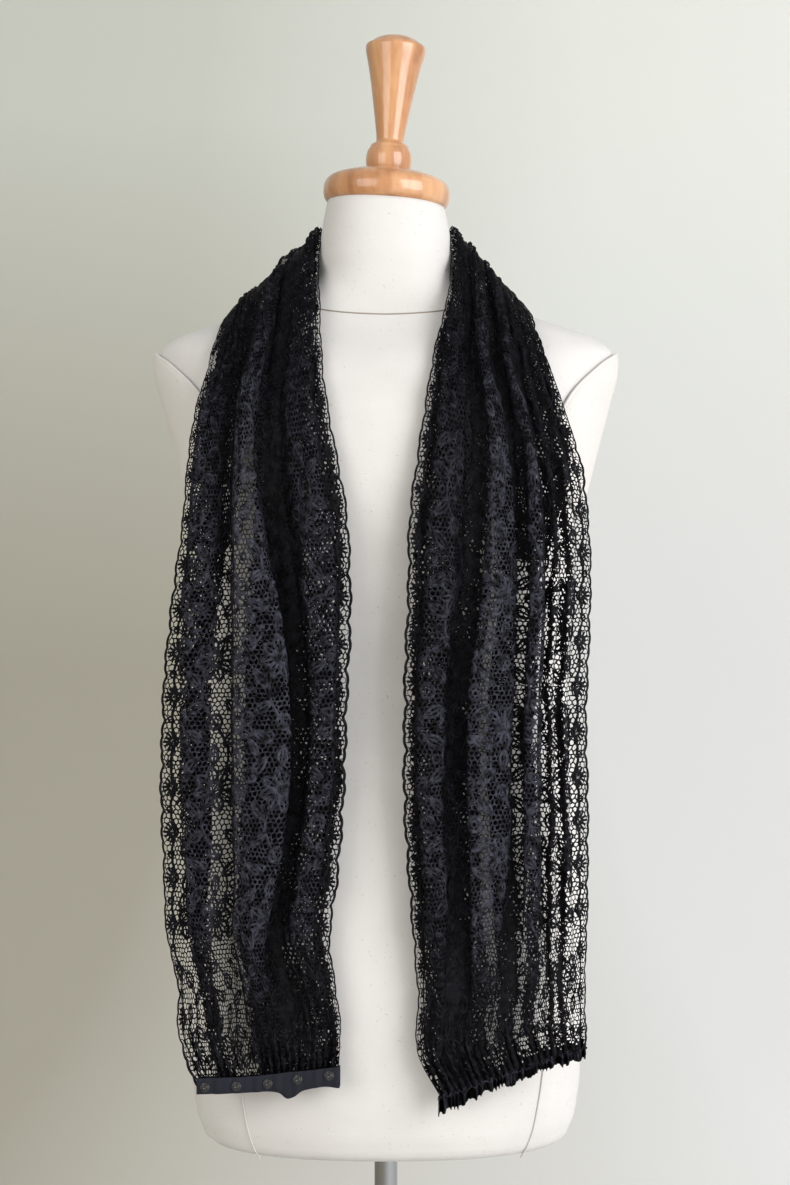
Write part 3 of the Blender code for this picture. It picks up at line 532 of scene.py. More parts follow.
def noise(nodes, links, scale, detail=3.0, rough=0.55, stretch=(1, 1, 1)):
    """Noise over the object's own coordinates, stretched along an axis by a smaller factor."""
    place = nodes.new("ShaderNodeTexCoord")
    turn = nodes.new("ShaderNodeMapping")
    turn.inputs["Scale"].default_value = stretch
    grain = nodes.new("ShaderNodeTexNoise")
    grain.inputs["Scale"].default_value = scale
    grain.inputs["Detail"].default_value = detail
    grain.inputs["Roughness"].default_value = rough
    links.new(place.outputs["Object"], turn.inputs["Vector"])
    links.new(turn.outputs["Vector"], grain.inputs["Vector"])
    return grain.outputs["Fac"]


def ramp(nodes, links, source, stops):
    """Colour ramp on a value; stops are rows of place and colour."""
    made = nodes.new("ShaderNodeValToRGB")
    bar = made.color_ramp
    while len(bar.elements) < len(stops):
        bar.elements.new(0.5)
    for element, (place, colour) in zip(bar.elements, stops):
        element.position = place
        element.color = (*colour, 1.0)
    links.new(source, made.inputs["Fac"])
    return made.outputs["Color"]


def level(nodes, links, source, low, high, to_low=0.0, to_high=1.0):
    """Carries a value's range from low and high to another two values, held at its ends."""
    made = nodes.new("ShaderNodeMapRange")
    for label, value in zip(("From Min", "From Max", "To Min", "To Max"), (low, high, to_low, to_high)):
        made.inputs[label].default_value = value
    links.new(source, made.inputs["Value"])
    return made.outputs[0]


def bump(nodes, links, shader, source, strength, distance):
    made = nodes.new("ShaderNodeBump")
    made.inputs["Strength"].default_value = strength
    made.inputs["Distance"].default_value = distance
    links.new(source, made.inputs["Height"])
    links.new(made.outputs["Normal"], shader.inputs["Normal"])
    return made


# Lace. Flat measures here are in millimetres, u across the strip and v along it

NET_COLUMNS = 76
NET_ROWS = 481
THREAD = 0.40
SCALLOP = 34.0
BORDER_REACH = 13.0
BORDER_KEEP = 13.5
EDGE_PAINTED_LIGHT = 0.25
EYELET_KEEP = 16
QUARTER_SIDE = 0.1443
CREASE_RUN = 30
HEM_TIGHT = 26.0
PLEATS = 17
LANES = range(-1, 5)
TURNS = range(-1, 18)
REPEAT_U = REPEAT_WIDTH * 1000
REPEAT_V = REPEAT_LENGTH * 1000
WIDTH_MM = CLOTH_WIDTH * 1000
LENGTH_MM = WHOLE_LENGTH * 1000


def wrapped(u, v, at):
    """Place relative to the nearest copy of a point of the repeat."""
    du = (u - at[0] + REPEAT_U / 2) % REPEAT_U - REPEAT_U / 2
    dv = (v - at[1] + REPEAT_V / 2) % REPEAT_V - REPEAT_V / 2
    return du, dv


def oval(u, v, at, length, width, turn):
    """How far inside a pointed oval a place lies: half width less distance from its midrib."""
    du, dv = wrapped(u, v, at)
    x = (du * math.cos(turn) + dv * math.sin(turn)) / (length / 2)
    y = -du * math.sin(turn) + dv * math.cos(turn)
    return width / 2 * (1 - x * x) * (1 - 0.25 * x) - np.abs(y)


FLOWERS = (
    # place in the repeat, petals, reach, petal width, radius of the middle, first angle in degrees
    ((21.75, 28.8), 8, 17.0, 8.2, 4.8, 12.0),
    ((59.25, 76.8), 6, 15.5, 9.4, 4.6, 28.0),
    ((59.25, 27.0), 5, 11.0, 7.6, 2.9, 17.0),
)
ROSETTES = ((21.75, 78.0), (46.0, 5.0), (71.0, 40.0))
LEAVES = (
    # place, length, width, angle in degrees
    ((41.0, 20.0), 17.0, 7.0, 28.0),
    ((40.0, 41.0), 19.0, 7.5, -24.0),
    ((4.0, 14.0), 16.0, 6.5, 130.0),
    ((3.0, 46.0), 17.0, 7.0, 50.0),
    ((21.0, 54.0), 15.0, 6.5, 84.0),
    ((36.0, 66.0), 18.0, 7.0, 36.0),
    ((37.0, 88.0), 17.0, 7.0, -40.0),
    ((5.0, 68.0), 15.0, 6.0, 150.0),
    ((6.0, 89.0), 15.0, 6.0, 30.0),
    ((59.0, 53.0), 14.0, 6.5, 92.0),
    ((59.0, 3.0), 13.0, 5.5, 90.0),
    ((73.0, 60.0), 13.0, 5.5, 120.0),
)


SMALL_RINGS = ((38.0, 54.0), (11.0, 68.0), (49.5, 39.0), (70.0, 8.0))
WIDE_CELLS = (
    (31.0, 50.0), (12.0, 36.0), (49.0, 30.0), (30.0, 8.0), (12.0, 58.0), (46.0, 56.0), (70.0, 22.0),
    (30.0, 78.0), (13.0, 84.0), (48.0, 92.0), (70.0, 90.0), (66.0, 50.0), (52.0, 15.0), (10.0, 4.0),
)


def motif_ovals():
    """Every petal and leaf of the repeat: place, length, width and angle."""
    found = [(at, length, width, math.radians(turn)) for at, length, width, turn in LEAVES]
    for at, petals, reach, width, middle, first in FLOWERS:
        for k in range(petals):
            turn = math.radians(first) + 2 * math.pi * k / petals
            out = 0.5 * (reach + middle)
            place = (at[0] + out * math.cos(turn), at[1] + out * math.sin(turn))
            found.append((place, reach - middle, width, turn))
    return found


def scallop_edge(v):
    """How far the strip's scalloped edge lies outside the straight one, along the strip."""
    lobe = np.abs(np.sin(math.pi * v / SCALLOP)) ** 0.7
    small = np.abs(np.sin(math.pi * v / 11.333 + 0.4)) ** 0.8
    drift = 0.5 * np.sin(v / 47.0) + 0.4 * np.sin(v / 23.0 + 1.0)
    return 2.5 * lobe + 1.2 * small + drift - 1.9


def thread_width(u, v, inset):
    """Half width of the net's threads, a little thicker inside petals, leaves and borders, and
    much thicker near the hems, where the cloth is gathered."""
    wide = np.full(u.shape, THREAD)

    def add(inside, value, soft=1.2):
        nonlocal wide
        wide = np.maximum(wide, THREAD + (value - THREAD) * ease(inside, -soft, soft))

    for at, length, width, turn in motif_ovals():
        add(oval(u, v, at, length, width, turn), 0.62)
    for at, _, _, _, middle, _ in FLOWERS:
        r = np.hypot(*wrapped(u, v, at))
        add(middle - r, 0.55)
    for at in ROSETTES:
        r = np.hypot(*wrapped(u, v, at))
        add(5.6 - r, 0.50)
    add(5.0 - inset, 0.58)
    to_hem = np.minimum(v, LENGTH_MM - v)
    add(HEM_TIGHT - to_hem, 0.80, 18.0)
    add(8.0 - to_hem, 1.80, 4.0)
    return wide


def cut_gaps():
    """Middles of the larger gaps in the lace, in the places where the solids have them."""
    pitch = WIDTH_MM / COLUMNS
    ends = (0.0, FRONT_LENGTH * 1000, (FRONT_LENGTH + NECK_LENGTH) * 1000, LENGTH_MM)
    found = []
    for low, high, rows in zip(ends[:-1], ends[1:], (FRONT_ROWS, NECK_ROWS, FRONT_ROWS)):
        room = (high - low) / rows
        for turn in range(int(high / REPEAT_V) + 1):
            for lane in range(int(CLOTH_WIDTH / REPEAT_WIDTH)):
                for across, down in ((0.29, 0.30), (0.79, 0.80)):
                    length = (turn + down) * REPEAT_LENGTH * 1000
                    if not low + 50 < length < high - 50:
                        continue
                    column = int((lane + across) * REPEAT_WIDTH * 1000 / pitch)
                    row = int((length - low) / room)
                    middle = min(max((length - low) / room - row, 0.2), 0.8)
                    found.append(((column + 0.5) * pitch, low + (row + middle) * room))
    return found


def small_eyelets():
    """Middles of the smaller eyelets and how far each pushes the net apart: some in the repeat
    and a row along both borders."""
    found = []
    eyelets = [(*at, 0.75) for at in (*ROSETTES, FLOWERS[2][0])] + [(*at, 0.55) for at in WIDE_CELLS]
    for turn in TURNS:
        for lane in LANES:
            for du, dv, push in eyelets:
                u = lane * REPEAT_U + du
                v = turn * REPEAT_V + dv
                inside_u = EYELET_KEEP < u < WIDTH_MM - EYELET_KEEP
                if inside_u and EYELET_KEEP < v < LENGTH_MM - EYELET_KEEP:
                    found.append((u, v, push))
    for k in range(int(LENGTH_MM / 8.5)):
        v = (k + 0.5) * 8.5
        lobe = scallop_edge(np.array(v))
        found.append((6.4 - 0.9 * float(lobe), v, 0.62))
        found.append((WIDTH_MM - 6.4 + 0.9 * float(lobe), v, 0.62))
    return found


def net_points():
    """Corner points of the hexagon net, laid flat, one row a zigzag line across the strip.

    Point k of line j lies half a pitch further for each k, and a quarter of a side above or
    below its line by turns, so that six points close a hexagon. The net is then jittered, its
    edges follow the scallops, and each eyelet pushes its neighbours away."""
    pitch = WIDTH_MM / (NET_COLUMNS + 0.5)
    row = LENGTH_MM / NET_ROWS
    k = np.arange(2 * NET_COLUMNS + 2)[None, :]
    j = np.arange(NET_ROWS + 1)[:, None]
    u = k * pitch / 2 + 0.0 * j
    v = j * row + QUARTER_SIDE * pitch * np.where((k + j) % 2 == 0, 1.0, -1.0)
    draw = np.random.default_rng(11)
    inner = (j > 0) & (j < NET_ROWS)
    u = u + draw.normal(0, 0.34, u.shape) * ((k > 1) & (k < 2 * NET_COLUMNS))
    v = v + draw.normal(0, 0.34, v.shape) * inner
    v = np.clip(v, 0.0, LENGTH_MM)
    edge = scallop_edge(v)
    far_edge = edge * np.exp(-(((WIDTH_MM - u) / BORDER_REACH) ** 2))
    u = u - edge * np.exp(-((u / BORDER_REACH) ** 2)) + far_edge
    for cu, cv, push in [(*m, 1.15) for m in cut_gaps()] + small_eyelets():
        low = max(int(cv / row) - 5, 0)
        high = min(int(cv / row) + 6, NET_ROWS + 1)
        left = max(int(cu / pitch * 2) - 9, 0)
        right = min(int(cu / pitch * 2) + 10, u.shape[1])
        jr = np.arange(low, high)
        near = np.argmin(np.abs((jr + 0.5) * row - cv))
        line = jr[near]
        shift = 0.5 * (line % 2)
        i = round(cu / pitch - 0.5 - shift)
        centre = ((i + 0.5 + shift) * pitch, (line + 0.5) * row)
        pu = u[low:high, left:right]
        pv = v[low:high, left:right]
        away = np.hypot(pu - centre[0], pv - centre[1])
        pull = np.exp(-((away / 7.0) ** 2))
        spread = push * np.exp(-((away / 3.6) ** 2)) / np.maximum(away, 0.3)
        u[low:high, left:right] = pu + (cu - centre[0]) * pull + (pu - centre[0]) * spread
        v[low:high, left:right] = pv + (cv - centre[1]) * pull + (pv - centre[1]) * spread
    return u, v


CREASES = (
    # start across and along, end across and along, half width, height, all in millimetres
    (30, 120, 75, 210, 9, 1.6),
    (120, 60, 150, 190, 8, -1.4),
    (200, 90, 235, 230, 10, 1.8),
    (250, 240, 205, 330, 8, -1.3),
    (60, 300, 100, 400, 10, 1.5),
    (150, 330, 130, 460, 9, 1.7),
    (230, 400, 265, 520, 8, -1.5),
    (35, 450, 60, 560, 9, 1.4),
    (180, 520, 160, 640, 8, 1.6),
    (90, 560, 120, 660, 9, -1.5),
    (60, 690, 75, 790, 12, 2.0),
    (140, 720, 165, 880, 11, -1.6),
    (230, 700, 215, 800, 9, 1.5),
    (255, 830, 235, 940, 10, 1.7),
    (90, 860, 70, 950, 10, 1.4),
    (200, 990, 180, 1090, 9, 1.6),
    (60, 1010, 85, 1110, 9, -1.4),
    (255, 1060, 230, 1180, 8, 1.6),
    (130, 1130, 105, 1250, 10, 1.8),
    (190, 1230, 225, 1330, 8, -1.4),
    (45, 1270, 70, 1390, 9, 1.5),
    (255, 1340, 235, 1470, 9, 1.7),
    (150, 1380, 130, 1500, 8, 1.5),
    (85, 1440, 110, 1560, 9, -1.4),
    (210, 1480, 195, 1590, 8, 1.6),
)


def cloth_grid():
    """Fine grid of the creased cloth, its normals and its painted light.

    The folded surface is moved along its normal by each crease's height times a bell curve of
    the distance from its line, and by sine pleats that take up the width which the folds leave.
    The painted light is a painted highlight, the blue-grey of thread in the light: most on fold tops that
    stand out and face the front and up, least in the valleys, as painted shade."""
    lengths = np.linspace(0.0, WHOLE_LENGTH, 1089)
    shares = np.linspace(0.0, 1.0, 401)
    points = shawl_points(lengths, shares)
    normals = np.cross(np.gradient(points, axis=1), np.gradient(points, axis=0))
    normals /= np.linalg.norm(normals, axis=2, keepdims=True)
    u = shares[None, :] * WIDTH_MM
    v = lengths[:, None] * 1000
    lift = np.zeros((len(lengths), len(shares)))
    for u0, v0, u1, v1, half, height in CREASES:
        run = np.array([u1 - u0, v1 - v0], float)
        long = np.hypot(*run)
        run /= long
        x = (u - u0) * run[0] + (v - v0) * run[1]
        y = -(u - u0) * run[1] + (v - v0) * run[0] + 6 * np.sin(x / 23.0)
        ends = ease(x, -8, CREASE_RUN) * (1 - ease(x, long - CREASE_RUN, long + 8))
        lift += height * np.exp(-((y / half) ** 2)) * ends
    lift += 0.35 * np.sin(u / 9.0 + 1.7 * np.sin(v / 40.0)) * np.sin(v / 21.0 + u / 60.0)
    run = np.linalg.norm(np.diff(points, axis=1), axis=2).sum(axis=1) / CLOTH_WIDTH
    fold = run * WIDTH_MM / PLEATS
    slack = np.maximum(0.97 / run - 1, 0)
    deep = 0.42 * fold / math.pi * np.sqrt(slack)
    phase = PLEATS * u / WIDTH_MM + 0.85 * np.sin(u / 37.0 + v / 170.0) + 0.35 * np.sin(v / 95.0)
    uneven = 0.55 + 0.45 * np.sin(u / 19.0 + 2.0 * np.sin(v / 130.0))
    lift += deep[:, None] * np.sin(2 * math.pi * phase) * uneven
    near_hem = np.minimum(v, LENGTH_MM - v)
    lift += 0.5 * np.sin(2 * math.pi * 41 * u / WIDTH_MM) * (1 - ease(near_hem, 8, 70))
    chord = points[:, -1:] - points[:, :1]
    from_edge = points - points[:, :1]
    at = (from_edge * chord).sum(axis=2, keepdims=True) / (chord * chord).sum(axis=2, keepdims=True)
    stand = np.linalg.norm(from_edge - at * chord, axis=2) * 1000
    points = points + normals * (lift / 1000)[..., None]
    normals = np.cross(np.gradient(points, axis=1), np.gradient(points, axis=0))
    normals /= np.linalg.norm(normals, axis=2, keepdims=True)
    # Painted light: lighter on fold tops that stand out and face the front and up, painted shade in the
    # valleys.
    painted_light_facing = ease(-normals[..., 1] + 0.35 * normals[..., 2], 0.10, 0.80)
    painted_light = (0.18 + 0.82 * ease(stand, 5.0, 19.0)) * (0.30 + 0.70 * painted_light_facing)
    return points, normals, painted_light


def on_cloth(grid, u, v, lift):
    """Carries flat places in millimetres onto the cloth, raised off it by lift."""
    points, normals = grid[:2]
    rows = points.shape[0] - 1
    columns = points.shape[1] - 1
    x = np.clip(u / WIDTH_MM, 0, 1) * columns
    y = np.clip(v / LENGTH_MM, 0, 1) * rows
    i = np.minimum(x.astype(int), columns - 1)
    j = np.minimum(y.astype(int), rows - 1)
    a = (x - i)[..., None]
    b = (y - j)[..., None]

    def mix(field):
        low = field[j, i] * (1 - a) + field[j, i + 1] * a
        high = field[j + 1, i] * (1 - a) + field[j + 1, i + 1] * a
        return low * (1 - b) + high * b

    normal = mix(normals)
    normal /= np.linalg.norm(normal, axis=-1, keepdims=True)
    beyond = (u - np.clip(u, 0, WIDTH_MM))[..., None] * columns / WIDTH_MM
    edge = points[j, i + 1] - points[j, i]
    return mix(points) + edge * beyond + normal * (lift / 1000)[..., None]


def painted_light_at(grid, u, v):
    """Bloom of the cloth at flat places, read from the nearest point of its grid."""
    painted_light = grid[2]
    i = np.rint(np.clip(u / WIDTH_MM, 0, 1) * (painted_light.shape[1] - 1)).astype(int)
    j = np.rint(np.clip(v / LENGTH_MM, 0, 1) * (painted_light.shape[0] - 1)).astype(int)
    return painted_light[j, i]


def net_cells(u, v, wide):
    """Turns a grid of net points into flat corners and faces. Every open hexagon is a ring of six
    quads round its hole; the hole's corners are pulled in by the thread width, and where it
    closes the hexagon is one face. Faces come with the row they lie in."""
    rows = u.shape[0] - 1
    columns = u.shape[1]
    j, i = np.meshgrid(np.arange(rows), np.arange(columns // 2 - 1), indexing="ij")
    first = j * columns + 2 * i + j % 2
    above = first + columns
    ring = np.stack([first, first + 1, first + 2, above + 2, above + 1, above], axis=-1).reshape(-1, 6)
    u = u.ravel()
    v = v.ravel()
    wide = wide.ravel()
    cu = u[ring].mean(axis=1, keepdims=True)
    cv = v[ring].mean(axis=1, keepdims=True)
    du = u[ring] - cu
    dv = v[ring] - cv
    reach = np.hypot(du, dv)
    share = np.clip(1 - 1.12 * wide[ring] / reach, 0.12, 0.90)
    is_open = (share.mean(axis=1) > 0.26) & (reach.min(axis=1) > 0.6)
    open_ring = ring[is_open]
    hole = len(u) + np.arange(open_ring.size).reshape(-1, 6)
    quads = np.stack([open_ring, np.roll(open_ring, -1, axis=1), np.roll(hole, -1, axis=1), hole], axis=-1)
    thick = np.clip((wide - THREAD) / 1.0, 0, 1)
    lift = np.concatenate([0.16 + 0.36 * thick, np.full(hole.size, -0.02)])
    # Thread density; the pieces that use it scale it by painted light, or cut it down as painted shade.
    density_and_painted_light = np.concatenate([thick, np.repeat(thick[open_ring].mean(axis=1), 6)])
    all_u = np.concatenate([u, (cu + du * share)[is_open].ravel()])
    all_v = np.concatenate([v, (cv + dv * share)[is_open].ravel()])
    row = j.ravel()
    return all_u, all_v, lift, density_and_painted_light, quads, row[is_open], ring[~is_open], row[~is_open]


def density_and_painted_light_layer(made, value):
    """Stores thread density times painted light at each point, for the lace's material, which paints it as
    blue-grey highlight.
    """
    layer = made.data.attributes.new("density_and_painted_light", "FLOAT", "POINT")
    layer.data.foreach_set("value", np.asarray(value, np.float32))


def build_lace(look):
    """The lace in five lengths, with its cords."""
    grid = cloth_grid()
    u, v = net_points()
    inset = np.minimum(u, WIDTH_MM - u) + scallop_edge(v)
    wide = thread_width(u, v, inset)
    draw = np.random.default_rng(5)
    wide = wide * (1 + draw.normal(0, 0.10, wide.shape))
    flat_u, flat_v, lift, density_and_painted_light, quads, open_row, shut, shut_row = net_cells(u, v, wide)
    points = on_cloth(grid, flat_u, flat_v, lift)
    # Density times painted light: fold tops that face out are painted lighter, valleys darker as painted
    # shade.
    density_and_painted_light = (0.45 + 0.40 * density_and_painted_light) * painted_light_at(grid, flat_u, flat_v)
    cuts = (0, 336, 672, 960, 1296, 1632)
    names = ("lace_left_low", "lace_left_high", "lace_neck", "lace_right_high", "lace_right_low")
    nodes = (*2 * ("shawl_left_front",), "shawl_neck_back", *2 * ("shawl_right_front",))
    row_mm = LENGTH_MM / NET_ROWS
    for name, node, low, high in zip(names, nodes, cuts[:-1], cuts[1:]):
        low_row = round(low / row_mm)
        high_row = round(high / row_mm)
        mine = quads[(open_row >= low_row) & (open_row < high_row)].reshape(-1, 4)
        whole = shut[(shut_row >= low_row) & (shut_row < high_row)]
        edge_points, edge_quads, edge_area = border_cords(grid, low, high, len(points))
        count = len(points) + len(edge_points)
        cord_points, cord_quads, cord_area, cord_painted_light = strokes(grid, low, high, count)
        made, used = mesh_object(
            name,
            np.concatenate([points, edge_points, cord_points]),
            [mine, whole, edge_quads, cord_quads],
            look,
        )
        # The border cords take an even painted light.
        edge_painted_light = np.full(len(edge_points), EDGE_PAINTED_LIGHT)
        density_and_painted_light_layer(made, np.concatenate([density_and_painted_light, edge_painted_light, cord_painted_light])[used])
        piece(made, "black_lace", node)


# Under the outer folds the strip lies in hidden ones. Each row is one of them: name, lengths
# where it starts and ends, shares across where it starts and ends, and how far it stands out
# from the base line, lengths and depth in millimetres
HIDDEN_FOLDS = (
    ("fold_left_inner", 3, 650, 0.43, 0.975, 2.2),
    ("fold_left_under", 3, 645, 0.45, 0.74, 0.9),
    ("fold_left_middle", 3, 645, 0.155, 0.265, 1.7),
    ("fold_left_outer", 400, 650, 0.05, 0.46, 1.9),
    ("fold_right_inner", 982, 1629, 0.59, 0.978, 2.2),
    ("fold_right_under", 985, 1629, 0.68, 0.88, 0.9),
    ("fold_right_middle", 985, 1629, 0.40, 0.53, 1.7),
    ("fold_right_strip", 985, 1629, 0.275, 0.362, 1.5),
    ("fold_right_ridge", 985, 1628, 0.108, 0.160, 1.4),
    ("fold_right_crease", 985, 1628, 0.190, 0.232, 1.4),
    ("fold_right_outer", 982, 1250, 0.03, 0.62, 1.9),
)
HANGING_WIDTH = 0.125


def base_points(lengths, shares, out):
    """Points on the straight sections of the strip, moved out from the form."""
    knots, table = edge_rows()
    edges = along(knots, table, lengths)
    run = along(knots, table, lengths + 0.004) - along(knots, table, lengths - 0.004)
    span = edges[:, 3:] - edges[:, :3]
    away = np.cross(-(run[:, :3] + run[:, 3:]), span)
    away /= np.linalg.norm(away, axis=1, keepdims=True)
    outer = edges[:, :3] + np.array([0.0, 0.0, EYE])
    return outer + span * shares[:, None] + away * out[:, None]


def build_hidden_folds(look):
    """Net for the folds that lie under the outer ones, painted dark as shade. Their borders wander, and the
    outer two narrow towards the end where they slip under the next."""
    for number, (name, low, high, first, last, depth) in enumerate(HIDDEN_FOLDS):
        span = HANGING_WIDTH * (last - first) * 1000
        columns = max(round(span / 3.8), 2)
        rows = round((high - low) / 3.5)
        k = np.arange(2 * columns + 2)[None, :]
        j = np.arange(rows + 1)[:, None]
        u = k * span / (2 * columns + 1) + 0.0 * j
        v = (high - low) * j / rows + 0.55 * np.where((k + j) % 2 == 0, 1.0, -1.0)
        draw = np.random.default_rng(21 + number)
        u = u + draw.normal(0, 0.35, u.shape)
        v = v + draw.normal(0, 0.35, v.shape)
        patch = np.sin(u / 4.3 + 2.1 * np.sin(v / 13.0 + number)) * np.sin(v / 6.1 + u / 9.0)
        wide = np.clip(1.45 + 0.45 * patch + draw.normal(0, 0.30, u.shape), 0.5, 2.4)
        flat_u, flat_v, lift, density_and_painted_light, quads, open_row, shut, shut_row = net_cells(u, v, wide)
        short = 1.0
        if name.endswith("outer"):
            to_end = flat_v if "left" in name else (high - low) - flat_v
            short = 0.30 + 0.70 * ease(to_end, 0, 110)
        across = first + (last - first) * (0.5 + (flat_u / span - 0.5) * short)
        place = low + flat_v
        across = across + 0.012 * np.sin(place / 31.0 + number) + 0.008 * np.sin(place / 11.0 + 2 * number)
        out = depth + 0.7 * np.sin(flat_u / 3.7 + 0.8 * np.sin(flat_v / 60.0)) + lift
        points = base_points(place / 1000, across, out / 1000)
        made, used = mesh_object(name, points, [quads.reshape(-1, 4), shut], look)
        # Painted shade: the hidden folds get a tenth of the thread density and none of the painted light.
        density_and_painted_light_layer(made, (0.1 * density_and_painted_light)[used])
        piece(made, "black_lace")


def circle(at, radius, step=2.3):
    turn = np.linspace(0, 2 * math.pi, max(round(2 * math.pi * radius / step), 7) + 1)
    return np.stack([at[0] + radius * np.cos(turn), at[1] + radius * np.sin(turn)], axis=1)


def straight(start, end, step=2.8):
    long = math.hypot(end[0] - start[0], end[1] - start[1])
    return np.linspace(start, end, max(round(long / step), 1) + 1)


def motif_lines():
    """Strokes of the repeat: outlines and midribs of petals and leaves, rings with their spokes
    and stems. Each is a flat chain of points and half the stroke's width."""
    lines = []
    for at, length, width, turn in motif_ovals():
        x = np.cos(np.linspace(0, 2 * math.pi, 2 * round(length * 0.42) + 4))
        side = np.sign(np.sin(np.linspace(0, 2 * math.pi, len(x)) + 1e-9))
        y = side * width / 2 * (1 - x * x) * (1 - 0.25 * x)
        flat = np.array([math.cos(turn), math.sin(turn)])
        square = np.array([-flat[1], flat[0]])
        lines.append((np.array(at) + (x * length / 2)[:, None] * flat + y[:, None] * square, 1.15))
        ends = np.array(at) + np.array([[-0.40 * length], [0.40 * length]]) * flat
        lines.append((straight(ends[0], ends[1]), 0.75))
    for at, _, _, _, middle, _ in FLOWERS:
        lines.append((circle(at, middle), 1.25))
        lines.append((circle(at, 0.42 * middle), 0.45))
    for at in ROSETTES:
        lines.append((circle(at, 5.4), 1.25))
        lines.append((circle(at, 2.3), 0.60))
        for k in range(6):
            turn = 0.3 + k * math.pi / 3
            way = np.array([math.cos(turn), math.sin(turn)])
            lines.append((straight(np.array(at) + 2.5 * way, np.array(at) + 5.2 * way), 0.45))
    for at in SMALL_RINGS:
        lines.append((circle(at, 3.1), 0.90))
    v = np.linspace(0, 96, 49)
    lines.append((np.stack([21.75 + 11.0 * np.sin(2 * math.pi * (v - 28.8) / 96.0), v], axis=1), 1.00))
    return lines


def border_lines():
    """Strokes of one scallop of the border, as insets from the edge and places along it."""
    v = np.linspace(0, SCALLOP, 18)
    lines = [(np.stack([9.6 - 2.0 * np.cos(2 * math.pi * v / SCALLOP), v], axis=1), 1.15)]
    middle = (10.6, SCALLOP / 2)
    lines.append((circle(middle, 3.4), 1.15))
    lines.append((circle(middle, 1.5), 0.40))
    for k in range(7):
        turn = math.pi * (0.58 + 0.14 * k)
        way = np.array([math.cos(turn), math.sin(turn)])
        lines.append((straight(middle + 3.6 * way, middle + 8.4 * way), 1.00))
    lines.append((circle((6.0, 0.0), 2.2), 0.95))
    return lines


def strokes(grid, low, high, offset):
    """Raised strokes on the net between two lengths. Each is a low ridge of two strips along its
    line, at every place where the repeat falls, and on both borders."""
    sets = []
    spots = np.array([(REPEAT_U * lane, REPEAT_V * turn) for lane in LANES for turn in TURNS])
    for line, half in motif_lines():
        sets.append((spots[:, None] + line[None], half, BORDER_KEEP))
    turns = SCALLOP * np.arange(48)[:, None]
    for line, half in border_lines():
        inset = line[None, :, 0] + 0 * turns
        down = line[None, :, 1] + turns
        out = inset - scallop_edge(down) * np.exp(-((inset / BORDER_REACH) ** 2))
        sets.append((np.stack([out, down], axis=-1), half, 0.0))
        sets.append((np.stack([WIDTH_MM - out, down], axis=-1), half, 0.0))
    points = []
    quads = []
    painted_light = []
    count = offset
    area = 0.0
    for middle, half, keep_off in sets:
        keep = (middle[..., 0] > keep_off) & (middle[..., 0] < WIDTH_MM - keep_off)
        keep &= (middle[..., 1] >= low) & (middle[..., 1] < high)
        some = keep.sum(axis=1) > 1
        middle = middle[some]
        keep = keep[some]
        if not len(middle):
            continue
        run = np.gradient(middle, axis=1)
        side = np.stack([-run[..., 1], run[..., 0]], axis=-1)
        side /= np.maximum(np.linalg.norm(side, axis=-1, keepdims=True), 1e-6)
        place = np.stack([middle + half * side, middle, middle - half * side], axis=2)
        lift = np.broadcast_to(np.array([0.22, 0.34 + 0.62 * half, 0.22]), place.shape[:3])
        points.append(on_cloth(grid, place[..., 0], place[..., 1], lift).reshape(-1, 3))
        # The strokes take the cloth's painted light.
        painted_light.append(0.80 * painted_light_at(grid, place[..., 0], place[..., 1]).ravel())
        faces = grid_quads(middle.shape[1], 3)
        drawn = keep[:, :-1] & keep[:, 1:]
        area += 2 * half * (np.linalg.norm(np.diff(middle, axis=1), axis=2) * drawn).sum() / 1e6
        both = drawn.repeat(2, axis=1)
        copy = 3 * middle.shape[1] * np.arange(len(middle))
        quads.append((faces[None] + copy[:, None, None])[both] + count)
        count += len(points[-1])
    return np.concatenate(points), np.concatenate(quads), area, np.concatenate(painted_light)


def border_cords(grid, low, high, offset):
    """Raised cord along both scalloped edges: four lines of points, out from the edge and up."""
    v = np.arange(low, high + 0.1, 0.8)
    v[-1] = high
    edge = scallop_edge(v)
    points = []
    quads = []
    steps = ((1.1, 0.10), (0.55, 0.60), (-0.35, 0.65), (-1.3, 0.05))
    for side in (0, 1):
        rows = []
        for out, lift in steps:
            u = -edge - out
            u = u if side == 0 else WIDTH_MM - u
            rows.append(on_cloth(grid, u, v, np.full(v.shape, lift)))
        strip = np.stack(rows, axis=1)
        faces = grid_quads(len(v), len(steps), offset=offset + sum(len(p) for p in points))
        if side == 0:
            faces = faces[:, ::-1]
        quads.append(faces)
        points.append(strip.reshape(-1, 3))
    area = 2 * (high - low) * 2.3 / 1e6
    return np.concatenate(points), np.concatenate(quads), area


def lace_look():
    """Black thread, painted blue-grey in uneven patches where the thread is dense and its painted light is
    high: a painted highlight for thread in the light.
    """
    made, nodes, links, shader = surface_look("black_lace_painted_highlight", (0.006, 0.006, 0.010), 0.55)
    shader.inputs["Specular IOR Level"].default_value = 0.06
    density_and_painted_light = nodes.new("ShaderNodeAttribute")
    density_and_painted_light.attribute_name = "density_and_painted_light"
    patch = level(nodes, links, noise(nodes, links, 190.0, 4.0, 0.70), 0.40, 0.68, 0.06)
    both = nodes.new("ShaderNodeMath")
    both.operation = "MULTIPLY"
    links.new(density_and_painted_light.outputs["Fac"], both.inputs[0])
    links.new(patch, both.inputs[1])
    # Painted highlight: black rising to blue-grey as density, painted light and the patches grow.
    tones = ((0.0, (0.0012, 0.0012, 0.0016)), (1.0, (0.072, 0.073, 0.103)))
    tone = ramp(nodes, links, both.outputs[0], tones)
    links.new(tone, shader.inputs["Base Color"])
    thread = noise(nodes, links, 900.0, 2.0, 0.6)
    bump(nodes, links, shader, thread, 0.5, 0.0004)
    return made


# Dress form, cap and stand


